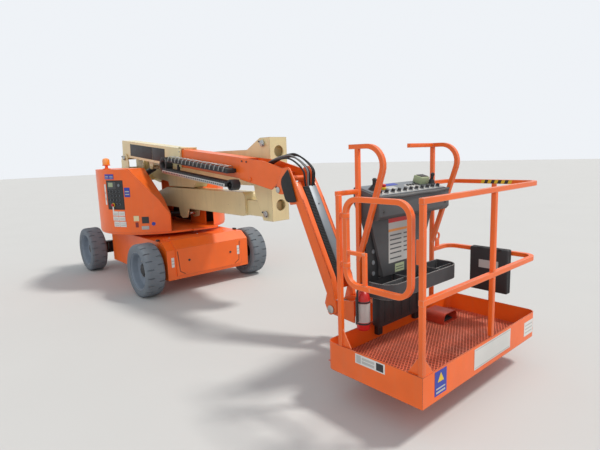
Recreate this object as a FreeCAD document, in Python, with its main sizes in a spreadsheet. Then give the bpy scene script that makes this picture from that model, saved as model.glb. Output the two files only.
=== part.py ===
import FreeCAD, Part
import math
import os
import re
import Sketcher

# Articulating boom lift, battery driven, on four wheels, in millimetres.
# X runs from the counterweight to the platform, Y to the left, Z up.
# Stations are measured from the slewing axis and moved to the part's origin,
# which lies on the ground under the middle of the whole machine.

doc = FreeCAD.newDocument("boom_lift")
sheet = doc.addObject("Spreadsheet::Sheet", "sizes")

# Driving dimensions: alias, value, what it is.
SIZES = (
    ("wheelbase", 2000, "between the two axles"),
    ("tyre_r", 327.5, "outer radius of a tyre"),
    ("tyre_inner_r", 235, "seat of the tyre on its rim"),
    ("tyre_w", 230, "width of a tyre"),
    ("track_out", 870, "outer face of a tyre from the middle"),
    ("rim_wall", 12, "thickness of the rim"),
    ("rim_dish", 60, "depth of the rim's disc behind the outer face"),
    ("hub_r", 88, "radius of a hub"),
    ("hub_end", 800, "outer end of a hub from the middle"),
    ("spindle_r", 35, "radius of a spindle"),
    ("running", 0.05, "radial clearance of a shaft in its bore"),
    ("pin_gap", 0.3, "gap between bodies that meet at a flat face"),
    ("side_gap", 5, "side clearance between moving plates"),
    ("chassis_w", 1170, "width of the chassis between the wheels"),
    ("chassis_low", 190, "ground clearance under the chassis"),
    ("deck_z", 650, "top of the chassis deck"),
    ("chassis_rear", -600, "station where the steer bay starts"),
    ("chassis_front", 1250, "station of the chassis end face"),
    ("nose_low", 560, "height where the end face turns to its slope"),
    ("nose_back", 120, "run of the sloping end"),
    ("neck_w", 560, "width of the chassis neck in the steer bay"),
    ("neck_rear", -1180, "station of the neck's end"),
    ("neck_low", 260, "underside of the neck"),
    ("cover_w", 940, "width of the end cover"),
    ("cover_t", 14, "thickness of the end cover"),
    ("cover_back", 330, "length of the end cover on the deck"),
    ("axle_y", 575, "kingpin from the middle"),
    ("axle_z", 327.5, "height of the wheel centres"),
    ("axle_half", 55, "half the axle beam's width"),
    ("kingpin_r", 20, "radius of a kingpin"),
    ("yoke_r", 50, "radius of the yoke round the kingpin"),
    ("yoke_t", 24, "thickness of a yoke plate"),
    ("knuckle_tall", 130, "height of a knuckle"),
    ("knuckle_r", 45, "radius of a knuckle's barrel"),
    ("arm_len", 150, "length of a steering arm"),
    ("slew_r", 330, "outer radius of the slewing ring"),
    ("slew_in_r", 240, "inner radius of the slewing ring"),
    ("table_z", 700, "underside of the turntable"),
    ("table_t", 25, "thickness of the turntable plate"),
    ("table_front", 900, "station of the turntable plate's front"),
    ("tail_r", 875, "radius that the tail and the hoods keep to"),
    ("tower_y", 200, "tower's middle plane"),
    ("tower_half", 95, "half the tower beams' width"),
    ("plate_t", 15, "thickness of the big side plates"),
    ("ear_t", 20, "thickness of the turntable ears"),
    ("low_pivot_x", -600, "rear pivot of the lower tower"),
    ("low_pivot_z", 1030, "height of that pivot"),
    ("low_top", 1245, "top of the lower tower beam"),
    ("low_bottom", 965, "underside of the lower tower beam"),
    ("low_front", 1960, "station of the lower beam's front"),
    ("knee_low_x", 2390, "lower tower's pivot in the front upright"),
    ("knee_low_z", 1024, "height of that pivot"),
    ("knee_high_x", 2380, "upper tower's pivot in the front upright"),
    ("knee_high_z", 1790, "height of that pivot"),
    ("up_top", 1730, "top of the upper tower beam"),
    ("up_bottom", 1330, "underside of the upper tower beam"),
    ("up_rear_x", -720, "upper tower's pivot in the rear upright"),
    ("up_rear_z", 1600, "height of that pivot"),
    ("upright_front", 2500, "front face of the front upright"),
    ("upright_low", 950, "foot of the front upright"),
    ("upright_high", 1850, "top of the front upright"),
    ("upright_hole_r", 62, "radius of the round holes in the front upright"),
    ("lug_x", 465, "pin of the tower cylinder on the lower beam"),
    ("lug_z", 890, "height of that pin"),
    ("ram_foot_x", -430, "foot pin of the tower cylinder"),
    ("ram_foot_z", 800, "height of that pin"),
    ("lift_foot_x", -720, "foot pin of the boom cylinder on the rear upright"),
    ("lift_foot_z", 1350, "height of that pin"),
    ("lift_along", 825, "eye of the boom cylinder along the boom"),
    ("lift_up", -70, "eye of the boom cylinder above the boom's pivot"),
    ("jib_foot_along", 3330, "foot pin of the jib cylinder along the boom"),
    ("jib_foot_up", 45, "that pin above the boom's pivot"),
    ("jib_eye_along", 42, "eye of the jib cylinder along the jib"),
    ("jib_eye_up", -155, "that eye above the jib's middle line"),
    ("boom_y", -90, "middle plane of boom, jib and platform"),
    ("boom_x", -800, "pivot of the main boom"),
    ("boom_z", 1700, "height of that pivot"),
    ("boom_tilt", 5.5, "slope of the main boom at rest, degrees down"),
    ("base_half", 105, "half the width of the boom's base section"),
    ("base_low", 15, "underside of the base section over the pivot"),
    ("base_high", 260, "top of the base section over the pivot"),
    ("base_rear", -120, "rear end of the base section"),
    ("base_front", 1830, "front end of the base section"),
    ("tube_wall", 9, "wall of the boom sections"),
    ("wear_gap", 4, "gap between the boom sections, filled by wear pads"),
    ("fly_rear", 40, "rear end of the fly section"),
    ("fly_nose", 3120, "start of the fly's nose plates"),
    ("fly_end", 3930, "station of the jib pivot along the boom"),
    ("fly_drop", 130, "jib pivot below the fly's top"),
    ("pad_long", 120, "length of the wear pads between the boom sections"),
    ("nose_drop", 225, "depth of the nose plates"),
    ("jib_tilt", 64, "slope of the jib at rest, degrees down"),
    ("jib_len", 1240, "jib between its pivots"),
    ("jib_half", 70, "half the width between the jib's plates"),
    ("jib_deep", 150, "depth of the jib's plates"),
    ("pivot_r", 25, "radius of the main pins"),
    ("small_pin_r", 16, "radius of the cylinder pins"),
    ("ram_r", 42, "radius of a cylinder barrel"),
    ("rod_r", 24, "radius of a cylinder rod"),
    ("rotor_x", 3965, "rotator axis"),
    ("rotor_r", 85, "radius of the rotator"),
    ("rotor_low", 250, "lower end of the rotator"),
    ("rotor_tall", 240, "height of the rotator"),
    ("deck_back", 4240, "rear edge of the platform"),
    ("deck_len", 760, "length of the platform"),
    ("deck_half", 760, "half the width of the platform"),
    ("deck_low", 212, "underside of the platform"),
    ("toe_tall", 193, "height of the toe boards"),
    ("toe_t", 6, "thickness of the toe boards"),
    ("floor_t", 8, "thickness of the mesh floor"),
    ("rail_z", 1395, "height of the top rail"),
    ("mid_z", 832, "height of the mid rail"),
    ("rail_r", 16, "radius of the rail tubes"),
    ("bend_r", 90, "bend of the rail tubes"),
    ("hood_z", 1550, "top of the hoods"),
    ("hood_in_right", 275, "inner edge of the right hood from the middle"),
    ("hood_in_left", 350, "inner edge of the left hood from the middle"),
    ("hood_t", 8, "wall of a hood"),
    ("hood_turn", 50, "plan direction in which a hood falls, degrees"),
    ("hood_shoulder", -180, "where a hood starts to fall, along that direction"),
    ("hood_knee", 180, "where the fall steepens"),
    ("hood_knee_z", 1150, "height of that knee"),
    ("hood_nose", 300, "foremost reach of a hood along that direction"),
    ("hood_nose_z", 950, "height of the hood's nose"),
    ("hinge_x", -790, "rear edge of the hoods"),
    ("hinge_right", 320, "hinge of the right hood from the middle"),
    ("hinge_left", 366, "hinge of the left hood from the middle"),
    ("hinge_r", 10, "radius of a hood's hinge pin"),
    ("hinge_off", 24, "hinge pin behind the hood's rear edge"),
    ("hinge_tall", 40, "height of a hinge eye"),
    ("panel_w", 300, "width of the ground control panel"),
    ("panel_tall", 380, "height of the ground control panel"),
    ("panel_z", 1030, "lower edge of the ground control panel"),
    ("panel_turn", -68, "plan direction of the panel, degrees"),
)

for row, (alias, value, meaning) in enumerate(SIZES, start=1):
    sheet.set("A%d" % row, alias)
    sheet.set("B%d" % row, str(value))
    sheet.setAlias("B%d" % row, alias)
    sheet.set("C%d" % row, meaning)
doc.recompute()
VALUES = {alias: float(sheet.get(alias)) for alias, value, meaning in SIZES}


def derive(alias, formula):
    """Add a cell that follows from the driving dimensions."""
    place = len(VALUES) + 1
    sheet.set("A%d" % place, alias)
    sheet.set("B%d" % place, "=" + formula)
    sheet.setAlias("B%d" % place, alias)
    doc.recompute()
    VALUES[alias] = float(sheet.get(alias))


# The whole machine reaches from the rear tyres to the platform's front rail.
derive("middle_x", "(deck_back + deck_len - wheelbase / 2 - tyre_r) / 2")
derive("gate_top", "rail_z - 20")
derive("hood_low", "table_z + table_t + pin_gap")
# The jib's pivot and foot follow from the slopes of the boom and the jib.
derive("fly_half", "base_half - tube_wall - wear_gap")
derive("fly_low", "base_low + tube_wall + wear_gap")
derive("fly_high", "base_high - tube_wall - wear_gap")
derive("fly_stroke", "base_front - fly_rear - 2 * pad_long - 20")
derive("jib_rise", "fly_high - fly_drop")
derive("jib_x", "boom_x + fly_end * cos(boom_tilt * 1deg) + jib_rise * sin(boom_tilt * 1deg)")
derive("jib_up", "boom_z - fly_end * sin(boom_tilt * 1deg) + jib_rise * cos(boom_tilt * 1deg)")
derive("foot_x", "jib_x + jib_len * cos(jib_tilt * 1deg)")
derive("foot_z", "jib_up - jib_len * sin(jib_tilt * 1deg)")
# Each cylinder lies between its foot pin and its rod's eye.
derive("tower_ram_long", "sqrt(pow(lug_x - ram_foot_x; 2) + pow(lug_z - ram_foot_z; 2))")
derive("tower_ram_tilt", "-atan((lug_z - ram_foot_z) / (lug_x - ram_foot_x)) / 1deg")
derive("lift_eye_x", "boom_x + lift_along * cos(boom_tilt * 1deg) + lift_up * sin(boom_tilt * 1deg)")
derive("lift_eye_z", "boom_z - lift_along * sin(boom_tilt * 1deg) + lift_up * cos(boom_tilt * 1deg)")
derive("lift_ram_long", "sqrt(pow(lift_eye_x - lift_foot_x; 2) + pow(lift_eye_z - lift_foot_z; 2))")
derive("lift_ram_tilt", "-atan((lift_eye_z - lift_foot_z) / (lift_eye_x - lift_foot_x)) / 1deg")
derive("jib_foot_x", "boom_x + jib_foot_along * cos(boom_tilt * 1deg) + jib_foot_up * sin(boom_tilt * 1deg)")
derive("jib_foot_z", "boom_z - jib_foot_along * sin(boom_tilt * 1deg) + jib_foot_up * cos(boom_tilt * 1deg)")
derive("jib_eye_x", "jib_x + jib_eye_along * cos(jib_tilt * 1deg) + jib_eye_up * sin(jib_tilt * 1deg)")
derive("jib_eye_z", "jib_up - jib_eye_along * sin(jib_tilt * 1deg) + jib_eye_up * cos(jib_tilt * 1deg)")
derive("jib_ram_long", "sqrt(pow(jib_eye_x - jib_foot_x; 2) + pow(jib_eye_z - jib_foot_z; 2))")
derive("jib_ram_tilt", "-atan((jib_eye_z - jib_foot_z) / (jib_eye_x - jib_foot_x)) / 1deg")
WORDS = re.compile(r"[a-z][a-z_]*[a-z]")
parts = {}


def bound(text):
    """Return an expression with each size named as a cell of the sheet."""
    return WORDS.sub(lambda hit: "sizes." + hit.group(0) if hit.group(0) in VALUES else hit.group(0), str(text))


def number(text):
    """Return the value of an expression of sizes."""
    text = WORDS.sub(lambda hit: repr(VALUES[hit.group(0)]) if hit.group(0) in VALUES else hit.group(0), str(text))
    return float(FreeCAD.Units.parseQuantity(text.replace(" ", "")).Value)


def bind(thing, prop, text):
    """Bind one property of an object to an expression of sizes."""
    thing.setExpression(prop, bound(text))


def box(x_low, x_high, y_low, y_high, z_low, z_high):
    """A block between six planes."""
    thing = doc.addObject("Part::Box", "block")
    bind(thing, "Length", "(%s) - (%s)" % (x_high, x_low))
    bind(thing, "Width", "(%s) - (%s)" % (y_high, y_low))
    bind(thing, "Height", "(%s) - (%s)" % (z_high, z_low))
    for axis, low in (("x", x_low), ("y", y_low), ("z", z_low)):
        bind(thing, "Placement.Base." + axis, low)
    return thing


TURNS = {
    "x": FreeCAD.Rotation(FreeCAD.Vector(0, 1, 0), 90),
    "y": FreeCAD.Rotation(FreeCAD.Vector(1, 0, 0), -90),
    "z": FreeCAD.Rotation(),
}


def rod(axis, x, y, z, radius, length):
    """A round bar that starts at a point and runs along an axis."""
    thing = doc.addObject("Part::Cylinder", "round")
    thing.Placement = FreeCAD.Placement(FreeCAD.Vector(), TURNS[axis])
    bind(thing, "Radius", radius)
    bind(thing, "Height", length)
    for name, place in (("x", x), ("y", y), ("z", z)):
        bind(thing, "Placement.Base." + name, place)
    return thing


def prism(plane, outline, low, high, rounds=None):
    """An outline on a base plane, padded from low to high across it.

    rounds gives a radius for the corners of the outline that are rounded, by their place in it.
    """
    body = doc.addObject("PartDesign::Body", "body")
    sketch = body.newObject("Sketcher::SketchObject", "outline")
    base = [item for item in body.Origin.OriginFeatures if item.Role == plane][0]
    sketch.AttachmentSupport = [(base, "")]
    sketch.MapMode = "FlatFace"
    start = "-(%s)" % high if plane == "XZ_Plane" else low
    bind(sketch, "AttachmentOffset.Base.z", start)
    corners = [FreeCAD.Vector(number(across), number(up), 0) for across, up in outline]
    count = len(corners)
    for index in range(count):
        sketch.addGeometry(Part.LineSegment(corners[index], corners[(index + 1) % count]), False)
    for index in range(count):
        sketch.addConstraint(Sketcher.Constraint("Coincident", index, 2, (index + 1) % count, 1))
    for index, (across, up) in enumerate(outline):
        for kind, text, here in (("DistanceX", across, corners[index].x), ("DistanceY", up, corners[index].y)):
            place = sketch.addConstraint(Sketcher.Constraint(kind, -1, 1, index, 1, here))
            sketch.setExpression("Constraints[%d]" % place, bound(text))
    pad = body.newObject("PartDesign::Pad", "pad")
    pad.Profile = sketch
    bind(pad, "Length", "(%s) - (%s)" % (high, low))
    if rounds:
        doc.recompute()
        for index, radius in rounds.items():
            round_corner(body, plane, outline[index], radius)
    return body


def round_corner(body, plane, corner, radius):
    """Round the edge of a padded outline that stands on one of its corners."""
    across, up = number(corner[0]), number(corner[1])
    solid = body.Tip
    found = []
    for place, edge in enumerate(solid.Shape.Edges, start=1):
        middle = edge.CenterOfMass
        spots = {"XZ_Plane": (middle.x, middle.z), "XY_Plane": (middle.x, middle.y), "YZ_Plane": (middle.y, middle.z)}
        if math.dist(spots[plane], (across, up)) < 0.01:
            found.append("Edge%d" % place)
    fillet = body.newObject("PartDesign::Fillet", "round")
    fillet.Base = (solid, found)
    bind(fillet, "Radius", radius)
    doc.recompute()


def fuse(*things):
    """One object of several."""
    whole = doc.addObject("Part::MultiFuse", "whole")
    whole.Shapes = list(things)
    return whole


def cut(base, *tools):
    """A base with one or more tools taken away."""
    whole = doc.addObject("Part::Cut", "cut")
    whole.Base = base
    whole.Tool = tools[0] if len(tools) == 1 else fuse(*tools)
    return whole


def common(one, other):
    """What two objects share."""
    whole = doc.addObject("Part::MultiCommon", "shared")
    whole.Shapes = [one, other]
    return whole


def node(name, thing, x="0", y="0", z="0", tilt="0"):
    """Name a sub-part and put it in place: its own point at x, y, z and tilted about Y."""
    if thing.TypeId in ("Part::Box", "Part::Cylinder"):
        thing = fuse(thing, thing)
    thing.Label = name
    spin = "rotation(vector(0; 1; 0); %s)" % bound(tilt)
    spot = "vector(%s - sizes.middle_x; %s; %s)" % (bound(x), bound(y), bound(z))
    thing.setExpression("Placement", "placement(%s; %s)" % (spot, spin))
    parts[name] = thing
    return thing


def wheel_ring(inner, outer, low, high, y_sign):
    """A ring about the Y axis of a wheel, between two distances from the middle plane."""
    start = low if y_sign > 0 else "-(%s)" % high
    length = "(%s) - (%s)" % (high, low)
    return cut(rod("y", "0", start, "0", outer, length), rod("y", "0", start, "0", inner, length))


# Wheels: the rear pair steers, the front pair drives.
WHEELS = (("rear_right", -1, -1), ("rear_left", -1, 1), ("front_right", 1, -1), ("front_left", 1, 1))
for wheel_name, x_sign, y_sign in WHEELS:
    station = "%d * wheelbase / 2" % x_sign
    tyre = wheel_ring("tyre_inner_r", "tyre_r", "track_out - tyre_w", "track_out", y_sign)
    node("tyre_" + wheel_name, tyre, x=station, z="axle_z")
    band = wheel_ring("tyre_inner_r - rim_wall", "tyre_inner_r", "track_out - tyre_w + 12", "track_out - 8", y_sign)
    disc = wheel_ring("hub_r", "tyre_inner_r - rim_wall", "track_out - rim_dish - 2 * rim_wall",
                      "track_out - rim_dish - rim_wall", y_sign)
    hub_low = "track_out - tyre_w"
    hub_start = hub_low if y_sign > 0 else "-hub_end"
    hub = rod("y", "0", hub_start, "0", "hub_r", "hub_end - (%s)" % hub_low)
    bore_start = "%s - 1" % hub_low if y_sign > 0 else "-(hub_end - 60)"
    bore = rod("y", "0", bore_start, "0", "spindle_r + running", "hub_end - 60 - (%s) + 1" % hub_low)
    node("rim_" + wheel_name, cut(fuse(band, disc, hub), bore), x=station, z="axle_z")

# Chassis frame with its neck in the steer bay.
frame_outline = (
    ("chassis_rear", "chassis_low"),
    ("chassis_front", "chassis_low"),
    ("chassis_front", "nose_low"),
    ("chassis_front - nose_back", "deck_z"),
    ("chassis_rear", "deck_z"),
)
neck_outline = (
    ("neck_rear", "neck_low + 60"),
    ("neck_rear + 60", "neck_low"),
    ("chassis_rear", "neck_low"),
    ("chassis_rear", "deck_z"),
    ("neck_rear + 200", "deck_z"),
    ("neck_rear", "deck_z - 110"),
)
frame_box = prism("XZ_Plane", frame_outline, "-chassis_w / 2", "chassis_w / 2")
neck_box = prism("XZ_Plane", neck_outline, "-neck_w / 2", "neck_w / 2")
drive_bore = rod("y", "wheelbase / 2", "-chassis_w / 2 - 1", "axle_z", "hub_r", "chassis_w + 2")
steer_bore = box("-wheelbase / 2 - axle_half", "-wheelbase / 2 + axle_half", "-neck_w / 2 - 1", "neck_w / 2 + 1",
                 "axle_z - axle_half", "axle_z + axle_half")
node("chassis_frame", cut(fuse(frame_box, neck_box), drive_bore, steer_bore))

# The cover over the battery end lies on the deck and on the end face.
cover_outline = (
    ("chassis_front", "chassis_low + 40"),
    ("chassis_front + cover_t", "chassis_low + 40"),
    ("chassis_front + cover_t", "nose_low + cover_t / 2"),
    ("chassis_front - nose_back + cover_t / 2", "deck_z + cover_t"),
    ("chassis_front - cover_back", "deck_z + cover_t"),
    ("chassis_front - cover_back", "deck_z"),
    ("chassis_front - nose_back", "deck_z"),
    ("chassis_front", "nose_low"),
)
node("end_cover", prism("XZ_Plane", cover_outline, "-cover_w / 2", "cover_w / 2"))

# Drive axle: a housing right across with a spindle at each end.
drive_tube = rod("y", "0", "-(track_out - tyre_w - 15)", "0", "hub_r", "2 * (track_out - tyre_w - 15)")
drive_spindle = rod("y", "0", "-(hub_end - 65)", "0", "spindle_r", "2 * (hub_end - 65)")
node("drive_axle", fuse(drive_tube, drive_spindle), x="wheelbase / 2", z="axle_z")

# Steer axle: a beam with a fork and kingpin at each end.
beam = box("-axle_half", "axle_half", "-(axle_y - 2 * yoke_r)", "axle_y - 2 * yoke_r", "-axle_half", "axle_half")
steer_parts = [beam]
for side in (-1, 1):
    for low in ("knuckle_tall / 2 + pin_gap", "-knuckle_tall / 2 - pin_gap - yoke_t"):
        steer_parts.append(rod("z", "0", "%d * axle_y" % side, low, "yoke_r", "yoke_t"))
        inner, outer = ("-axle_y", "-(axle_y - 2 * yoke_r)") if side < 0 else ("axle_y - 2 * yoke_r", "axle_y")
        steer_parts.append(box("-yoke_r", "yoke_r", inner, outer, low, "%s + yoke_t" % low))
    wall = ("-(axle_y - yoke_r)", "-(axle_y - 3 * yoke_r)") if side < 0 else ("axle_y - 3 * yoke_r", "axle_y - yoke_r")
    steer_parts.append(box("-yoke_r / 2", "yoke_r / 2", wall[0], wall[1], "-knuckle_tall / 2 - pin_gap - yoke_t",
                           "knuckle_tall / 2 + pin_gap + yoke_t"))
    steer_parts.append(rod("z", "0", "%d * axle_y" % side, "-knuckle_tall / 2 - yoke_t - 10", "kingpin_r",
                           "knuckle_tall + 2 * yoke_t + 20"))
node("steer_axle", fuse(*steer_parts), x="-wheelbase / 2", z="axle_z")

# Knuckles: barrel on the kingpin, spindle to the wheel, arm to the rear.
for side, name in ((-1, "knuckle_right"), (1, "knuckle_left")):
    barrel = rod("z", "0", "%d * axle_y" % side, "-knuckle_tall / 2", "knuckle_r", "knuckle_tall")
    spindle_start = "axle_y" if side > 0 else "-(hub_end - 65)"
    spindle = rod("y", "0", spindle_start, "0", "spindle_r", "hub_end - 65 - axle_y")
    arm_edge = ("axle_y - 24", "axle_y + 14") if side > 0 else ("-(axle_y + 14)", "-(axle_y - 24)")
    arm = box("-arm_len", "-knuckle_r + 10", arm_edge[0], arm_edge[1], "-52", "-28")
    pin_bore = rod("z", "0", "%d * axle_y" % side, "-knuckle_tall / 2 - 1", "kingpin_r + running", "knuckle_tall + 2")
    node(name, cut(fuse(barrel, spindle, arm), pin_bore), x="-wheelbase / 2", z="axle_z")

# Slewing ring, its lower half on the chassis and the upper one under the turntable.
ring_tall = "table_z - deck_z - pin_gap"
node("slew_ring", cut(rod("z", "0", "0", "deck_z", "slew_r", ring_tall),
                      rod("z", "0", "0", "deck_z - 1", "slew_in_r", ring_tall + " + 2")))

# Turntable: plate, ears of the lower tower and the guide plate in front.
table_disc = rod("z", "0", "0", "table_z", "tail_r - 8", "table_t")
table_tongue = box("0", "table_front", "tower_y - tower_half - 120", "tower_y + tower_half + 60", "table_z",
                   "table_z + table_t")
ear_outline = (
    ("low_pivot_x - 180", "table_z + table_t"),
    ("low_pivot_x + 330", "table_z + table_t"),
    ("low_pivot_x + 90", "low_pivot_z + 30"),
    ("low_pivot_x + 40", "low_pivot_z + 90"),
    ("low_pivot_x - 60", "low_pivot_z + 90"),
    ("low_pivot_x - 130", "low_pivot_z"),
)
near_out = "tower_y - tower_half - side_gap"
far_out = "tower_y + tower_half + side_gap"
near_ear = prism("XZ_Plane", ear_outline, near_out + " - ear_t", near_out)
far_ear = prism("XZ_Plane", ear_outline, far_out, far_out + " + ear_t")
ear_pin = rod("y", "low_pivot_x", near_out + " - ear_t - 8", "low_pivot_z", "pivot_r", "2 * (tower_half + side_gap + ear_t + 8)")
guide = box("200", "630", far_out + " + 15", far_out + " + 35", "table_z + table_t", "945")
foot_ears = [box("ram_foot_x - 40", "ram_foot_x + 40", low, high, "table_z + table_t", "ram_foot_z + 30")
             for low, high in (("tower_y - 65", "tower_y - 45"), ("tower_y + 45", "tower_y + 65"))]
foot_pin = rod("y", "ram_foot_x", "tower_y - 70", "ram_foot_z", "small_pin_r", "140")
hinge_pins = [rod("z", "hinge_x - hinge_off", hinge_y, "table_z + table_t / 2", "hinge_r", "hood_z - 80 - table_z")
              for hinge_y in ("-hinge_right", "hinge_left")]
hinge_feet = [box("hinge_x - hinge_off - 2 * hinge_r", "hinge_x + 80", hinge_y + " - 2 * hinge_r",
                  hinge_y + " + 2 * hinge_r", "table_z", "table_z + table_t")
              for hinge_y in ("-hinge_right", "hinge_left")]
node("turntable", fuse(table_disc, table_tongue, near_ear, far_ear, ear_pin, guide, foot_pin, *foot_ears, *hinge_pins,
                       *hinge_feet))

# Counterweight: the tail's round block between the hoods.
tail_disc = rod("z", "0", "0", "table_z + table_t", "tail_r", "370")
tail_side = box("-tail_r - 1", "low_pivot_x - 190", "-(hood_in_right - 10)", "hood_in_left - 10", "table_z", "hood_z")
node("counterweight", common(tail_disc, tail_side))

# Battery packs and pumps under the hoods are plain heavy blocks.
for side, name in ((-1, "battery_right"), (1, "battery_left")):
    edges = ("-640", "-(hood_in_right + 60)") if side < 0 else ("hood_in_left + 60", "640")
    node(name, box("-540", "430", edges[0], edges[1], "table_z + table_t", "1120"))

# Hoods: part of a drum whose front inner corner falls away, open inside and below.
FALL = (
    ("hood_shoulder", "hood_z"),
    ("hood_knee", "hood_knee_z"),
    ("hood_nose", "hood_nose_z"),
    ("hood_nose", "hood_low - 10"),
    ("-2 * tail_r", "hood_low - 10"),
    ("-2 * tail_r", "hood_z"),
)


def hood_body(side, shrink):
    """The filled form of one hood, made smaller by shrink on every outer face."""
    outline = [("%s - %s" % (across, shrink), "%s - %s" % (up, shrink)) for across, up in FALL[:3]]
    outline += [("%s - %s" % (FALL[3][0], shrink), FALL[3][1]), FALL[4], (FALL[5][0], "hood_z - %s" % shrink)]
    wedge = prism("XZ_Plane", outline, "-2 * tail_r", "2 * tail_r", {1: "150", 2: "90"})
    bind(wedge, "Placement", "placement(vector(0; 0; 0); rotation(vector(0; 0; 1); %d * hood_turn * -1))" % side)
    drum = rod("z", "0", "0", "hood_low", "tail_r - %s" % shrink, "hood_z - hood_low")
    edges = ("-tail_r", "-hood_in_right") if side < 0 else ("hood_in_left", "tail_r")
    half = box("hinge_x + %s" % shrink, "tail_r", edges[0], edges[1], "hood_low - 5", "hood_z + 5")
    return common(common(drum, half), wedge)


HINGE_LEVELS = ("hood_low + 60", "hood_z - 150")
hoods = {}
for side, name, hinge_y in ((-1, "hood_right", "-hinge_right"), (1, "hood_left", "hinge_left")):
    shell = cut(hood_body(side, "0"), hood_body(side, "hood_t"))
    eyes = []
    holes = []
    for level in HINGE_LEVELS:
        eyes.append(rod("z", "hinge_x - hinge_off", hinge_y, level, "2 * hinge_r", "hinge_tall"))
        eyes.append(box("hinge_x - hinge_off", "hinge_x + hood_t / 2", hinge_y + " - hinge_r", hinge_y + " + hinge_r",
                        level, level + " + hinge_tall"))
        holes.append(rod("z", "hinge_x - hinge_off", hinge_y, level + " - 1", "hinge_r + running", "hinge_tall + 2"))
    hoods[name] = cut(fuse(shell, *eyes), *holes)

panel_spot = "placement(vector(0; 0; 0); rotation(vector(0; 0; 1); panel_turn))"


def on_drum(thing):
    """Turn a block made at the front of the drum to the panel's direction."""
    holder = fuse(thing, thing)
    bind(holder, "Placement", panel_spot)
    return holder


panel_deep = "tail_r - 40"
pocket = on_drum(box(panel_deep, "tail_r + 5", "-panel_w / 2", "panel_w / 2", "panel_z", "panel_z + panel_tall"))
panel = on_drum(box(panel_deep, "tail_r - 16", "-panel_w / 2", "panel_w / 2", "panel_z", "panel_z + panel_tall"))
node("hood_right", cut(hoods["hood_right"], pocket))
node("hood_left", hoods["hood_left"])
node("ground_panel", fuse(panel, panel))
beacon_stem = rod("z", "60", "-790", "hood_z", "38", "25")
beacon_dome = rod("z", "60", "-790", "hood_z + 25", "34", "60")
node("beacon", fuse(beacon_stem, beacon_dome))

# Lower tower beam: tapers to its rear pivot, with a tongue into the front upright and two lugs.
low_outline = (
    ("low_pivot_x - 70", "low_pivot_z - 40"),
    ("low_pivot_x - 20", "low_bottom"),
    ("low_front", "low_bottom"),
    ("low_front", "low_top"),
    ("-60", "low_top + 5"),
    ("low_pivot_x - 40", "low_pivot_z + 90"),
    ("low_pivot_x - 70", "low_pivot_z + 60"),
)
low_beam = prism("XZ_Plane", low_outline, "tower_y - tower_half", "tower_y + tower_half", {2: "60", 3: "60"})
tongue = box("low_front - 100", "knee_low_x + 45", "tower_y - tower_half + 30", "tower_y + tower_half - 30",
             "low_bottom + 15", "low_bottom + 190")
lug_outline = (
    ("lug_x - 200", "low_bottom + 10"),
    ("lug_x - 170", "lug_z - 40"),
    ("lug_x - 100", "lug_z - 75"),
    ("lug_x + 40", "lug_z - 55"),
    ("lug_x + 100", "low_bottom + 10"),
)
lugs = [prism("XZ_Plane", lug_outline, low, high, {1: "30", 2: "40", 3: "30"})
        for low, high in (("tower_y - tower_half", "tower_y - tower_half + plate_t"),
                          ("tower_y + tower_half - plate_t", "tower_y + tower_half"))]
lug_bosses = [rod("y", "lug_x", start, "lug_z", "small_pin_r", "plate_t + 12")
              for start in ("tower_y - tower_half - 3", "tower_y + tower_half - plate_t - 9")]
low_bores = [rod("y", "low_pivot_x", "tower_y - 200", "low_pivot_z", "pivot_r + running", "400"),
             rod("y", "knee_low_x", "tower_y - 200", "knee_low_z", "pivot_r + running", "400")]
node("lower_tower", cut(fuse(low_beam, tongue, *lug_bosses, *lugs), *low_bores))

# Front upright: two side plates, a front plate with round holes, a top plate and two pins.
upright_outline = (
    ("upright_front - plate_t", "upright_low"),
    ("upright_front - plate_t", "upright_high"),
    ("upright_front - 170", "upright_high"),
    ("2040", "up_top - 20"),
    ("2040", "up_bottom + 60"),
    ("2180", "up_bottom + 20"),
    ("2200", "low_top - 20"),
    ("2330", "upright_low"),
)
near_plate = prism("XZ_Plane", upright_outline, near_out + " - plate_t", near_out)
far_plate = prism("XZ_Plane", upright_outline, far_out, far_out + " + plate_t")
front_plate = box("upright_front - plate_t", "upright_front", near_out + " - plate_t", far_out + " + plate_t",
                  "upright_low", "upright_high")
top_plate = box("upright_front - 50", "upright_front", near_out + " - plate_t", far_out + " + plate_t",
                "upright_high - plate_t", "upright_high")
holes = [rod("x", "upright_front - 40", "tower_y + 5", level, "upright_hole_r", "60")
         for level in ("upright_high - 150", "upright_low + 170")]
pins = [rod("y", station, near_out + " - plate_t - 8", level, "pivot_r", "2 * (tower_half + side_gap + plate_t + 8)")
        for station, level in (("knee_low_x", "knee_low_z"), ("knee_high_x", "knee_high_z"))]
node("front_upright", cut(fuse(near_plate, far_plate, front_plate, top_plate, *pins), *holes))

# Upper tower beam: raised ears at the front pivot and a hanging plate at the rear.
up_outline = (
    ("up_rear_x - 60", "up_rear_z - 60"),
    ("up_rear_x + 200", "up_bottom + 60"),
    ("0", "up_bottom"),
    ("knee_high_x - 60", "up_bottom"),
    ("knee_high_x + 55", "knee_high_z - 60"),
    ("knee_high_x + 45", "knee_high_z + 35"),
    ("knee_high_x - 45", "knee_high_z + 40"),
    ("knee_high_x - 180", "up_top"),
    ("up_rear_x + 40", "up_top"),
    ("up_rear_x - 60", "up_top - 60"),
)
up_beam = prism("XZ_Plane", up_outline, "tower_y - tower_half", "tower_y + tower_half", {5: "35", 6: "35"})
hang_outline = (
    ("-60", "up_bottom + 120"),
    ("10", "low_top + 20"),
    ("760", "low_top + 20"),
    ("830", "up_bottom + 10"),
)
hang_plate = prism("XZ_Plane", hang_outline, "tower_y - tower_half", "tower_y + tower_half", {1: "30", 2: "40"})
up_bores = [rod("y", "up_rear_x", "tower_y - 200", "up_rear_z", "pivot_r + running", "400"),
            rod("y", "knee_high_x", "tower_y - 200", "knee_high_z", "pivot_r + running", "400")]
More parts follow.
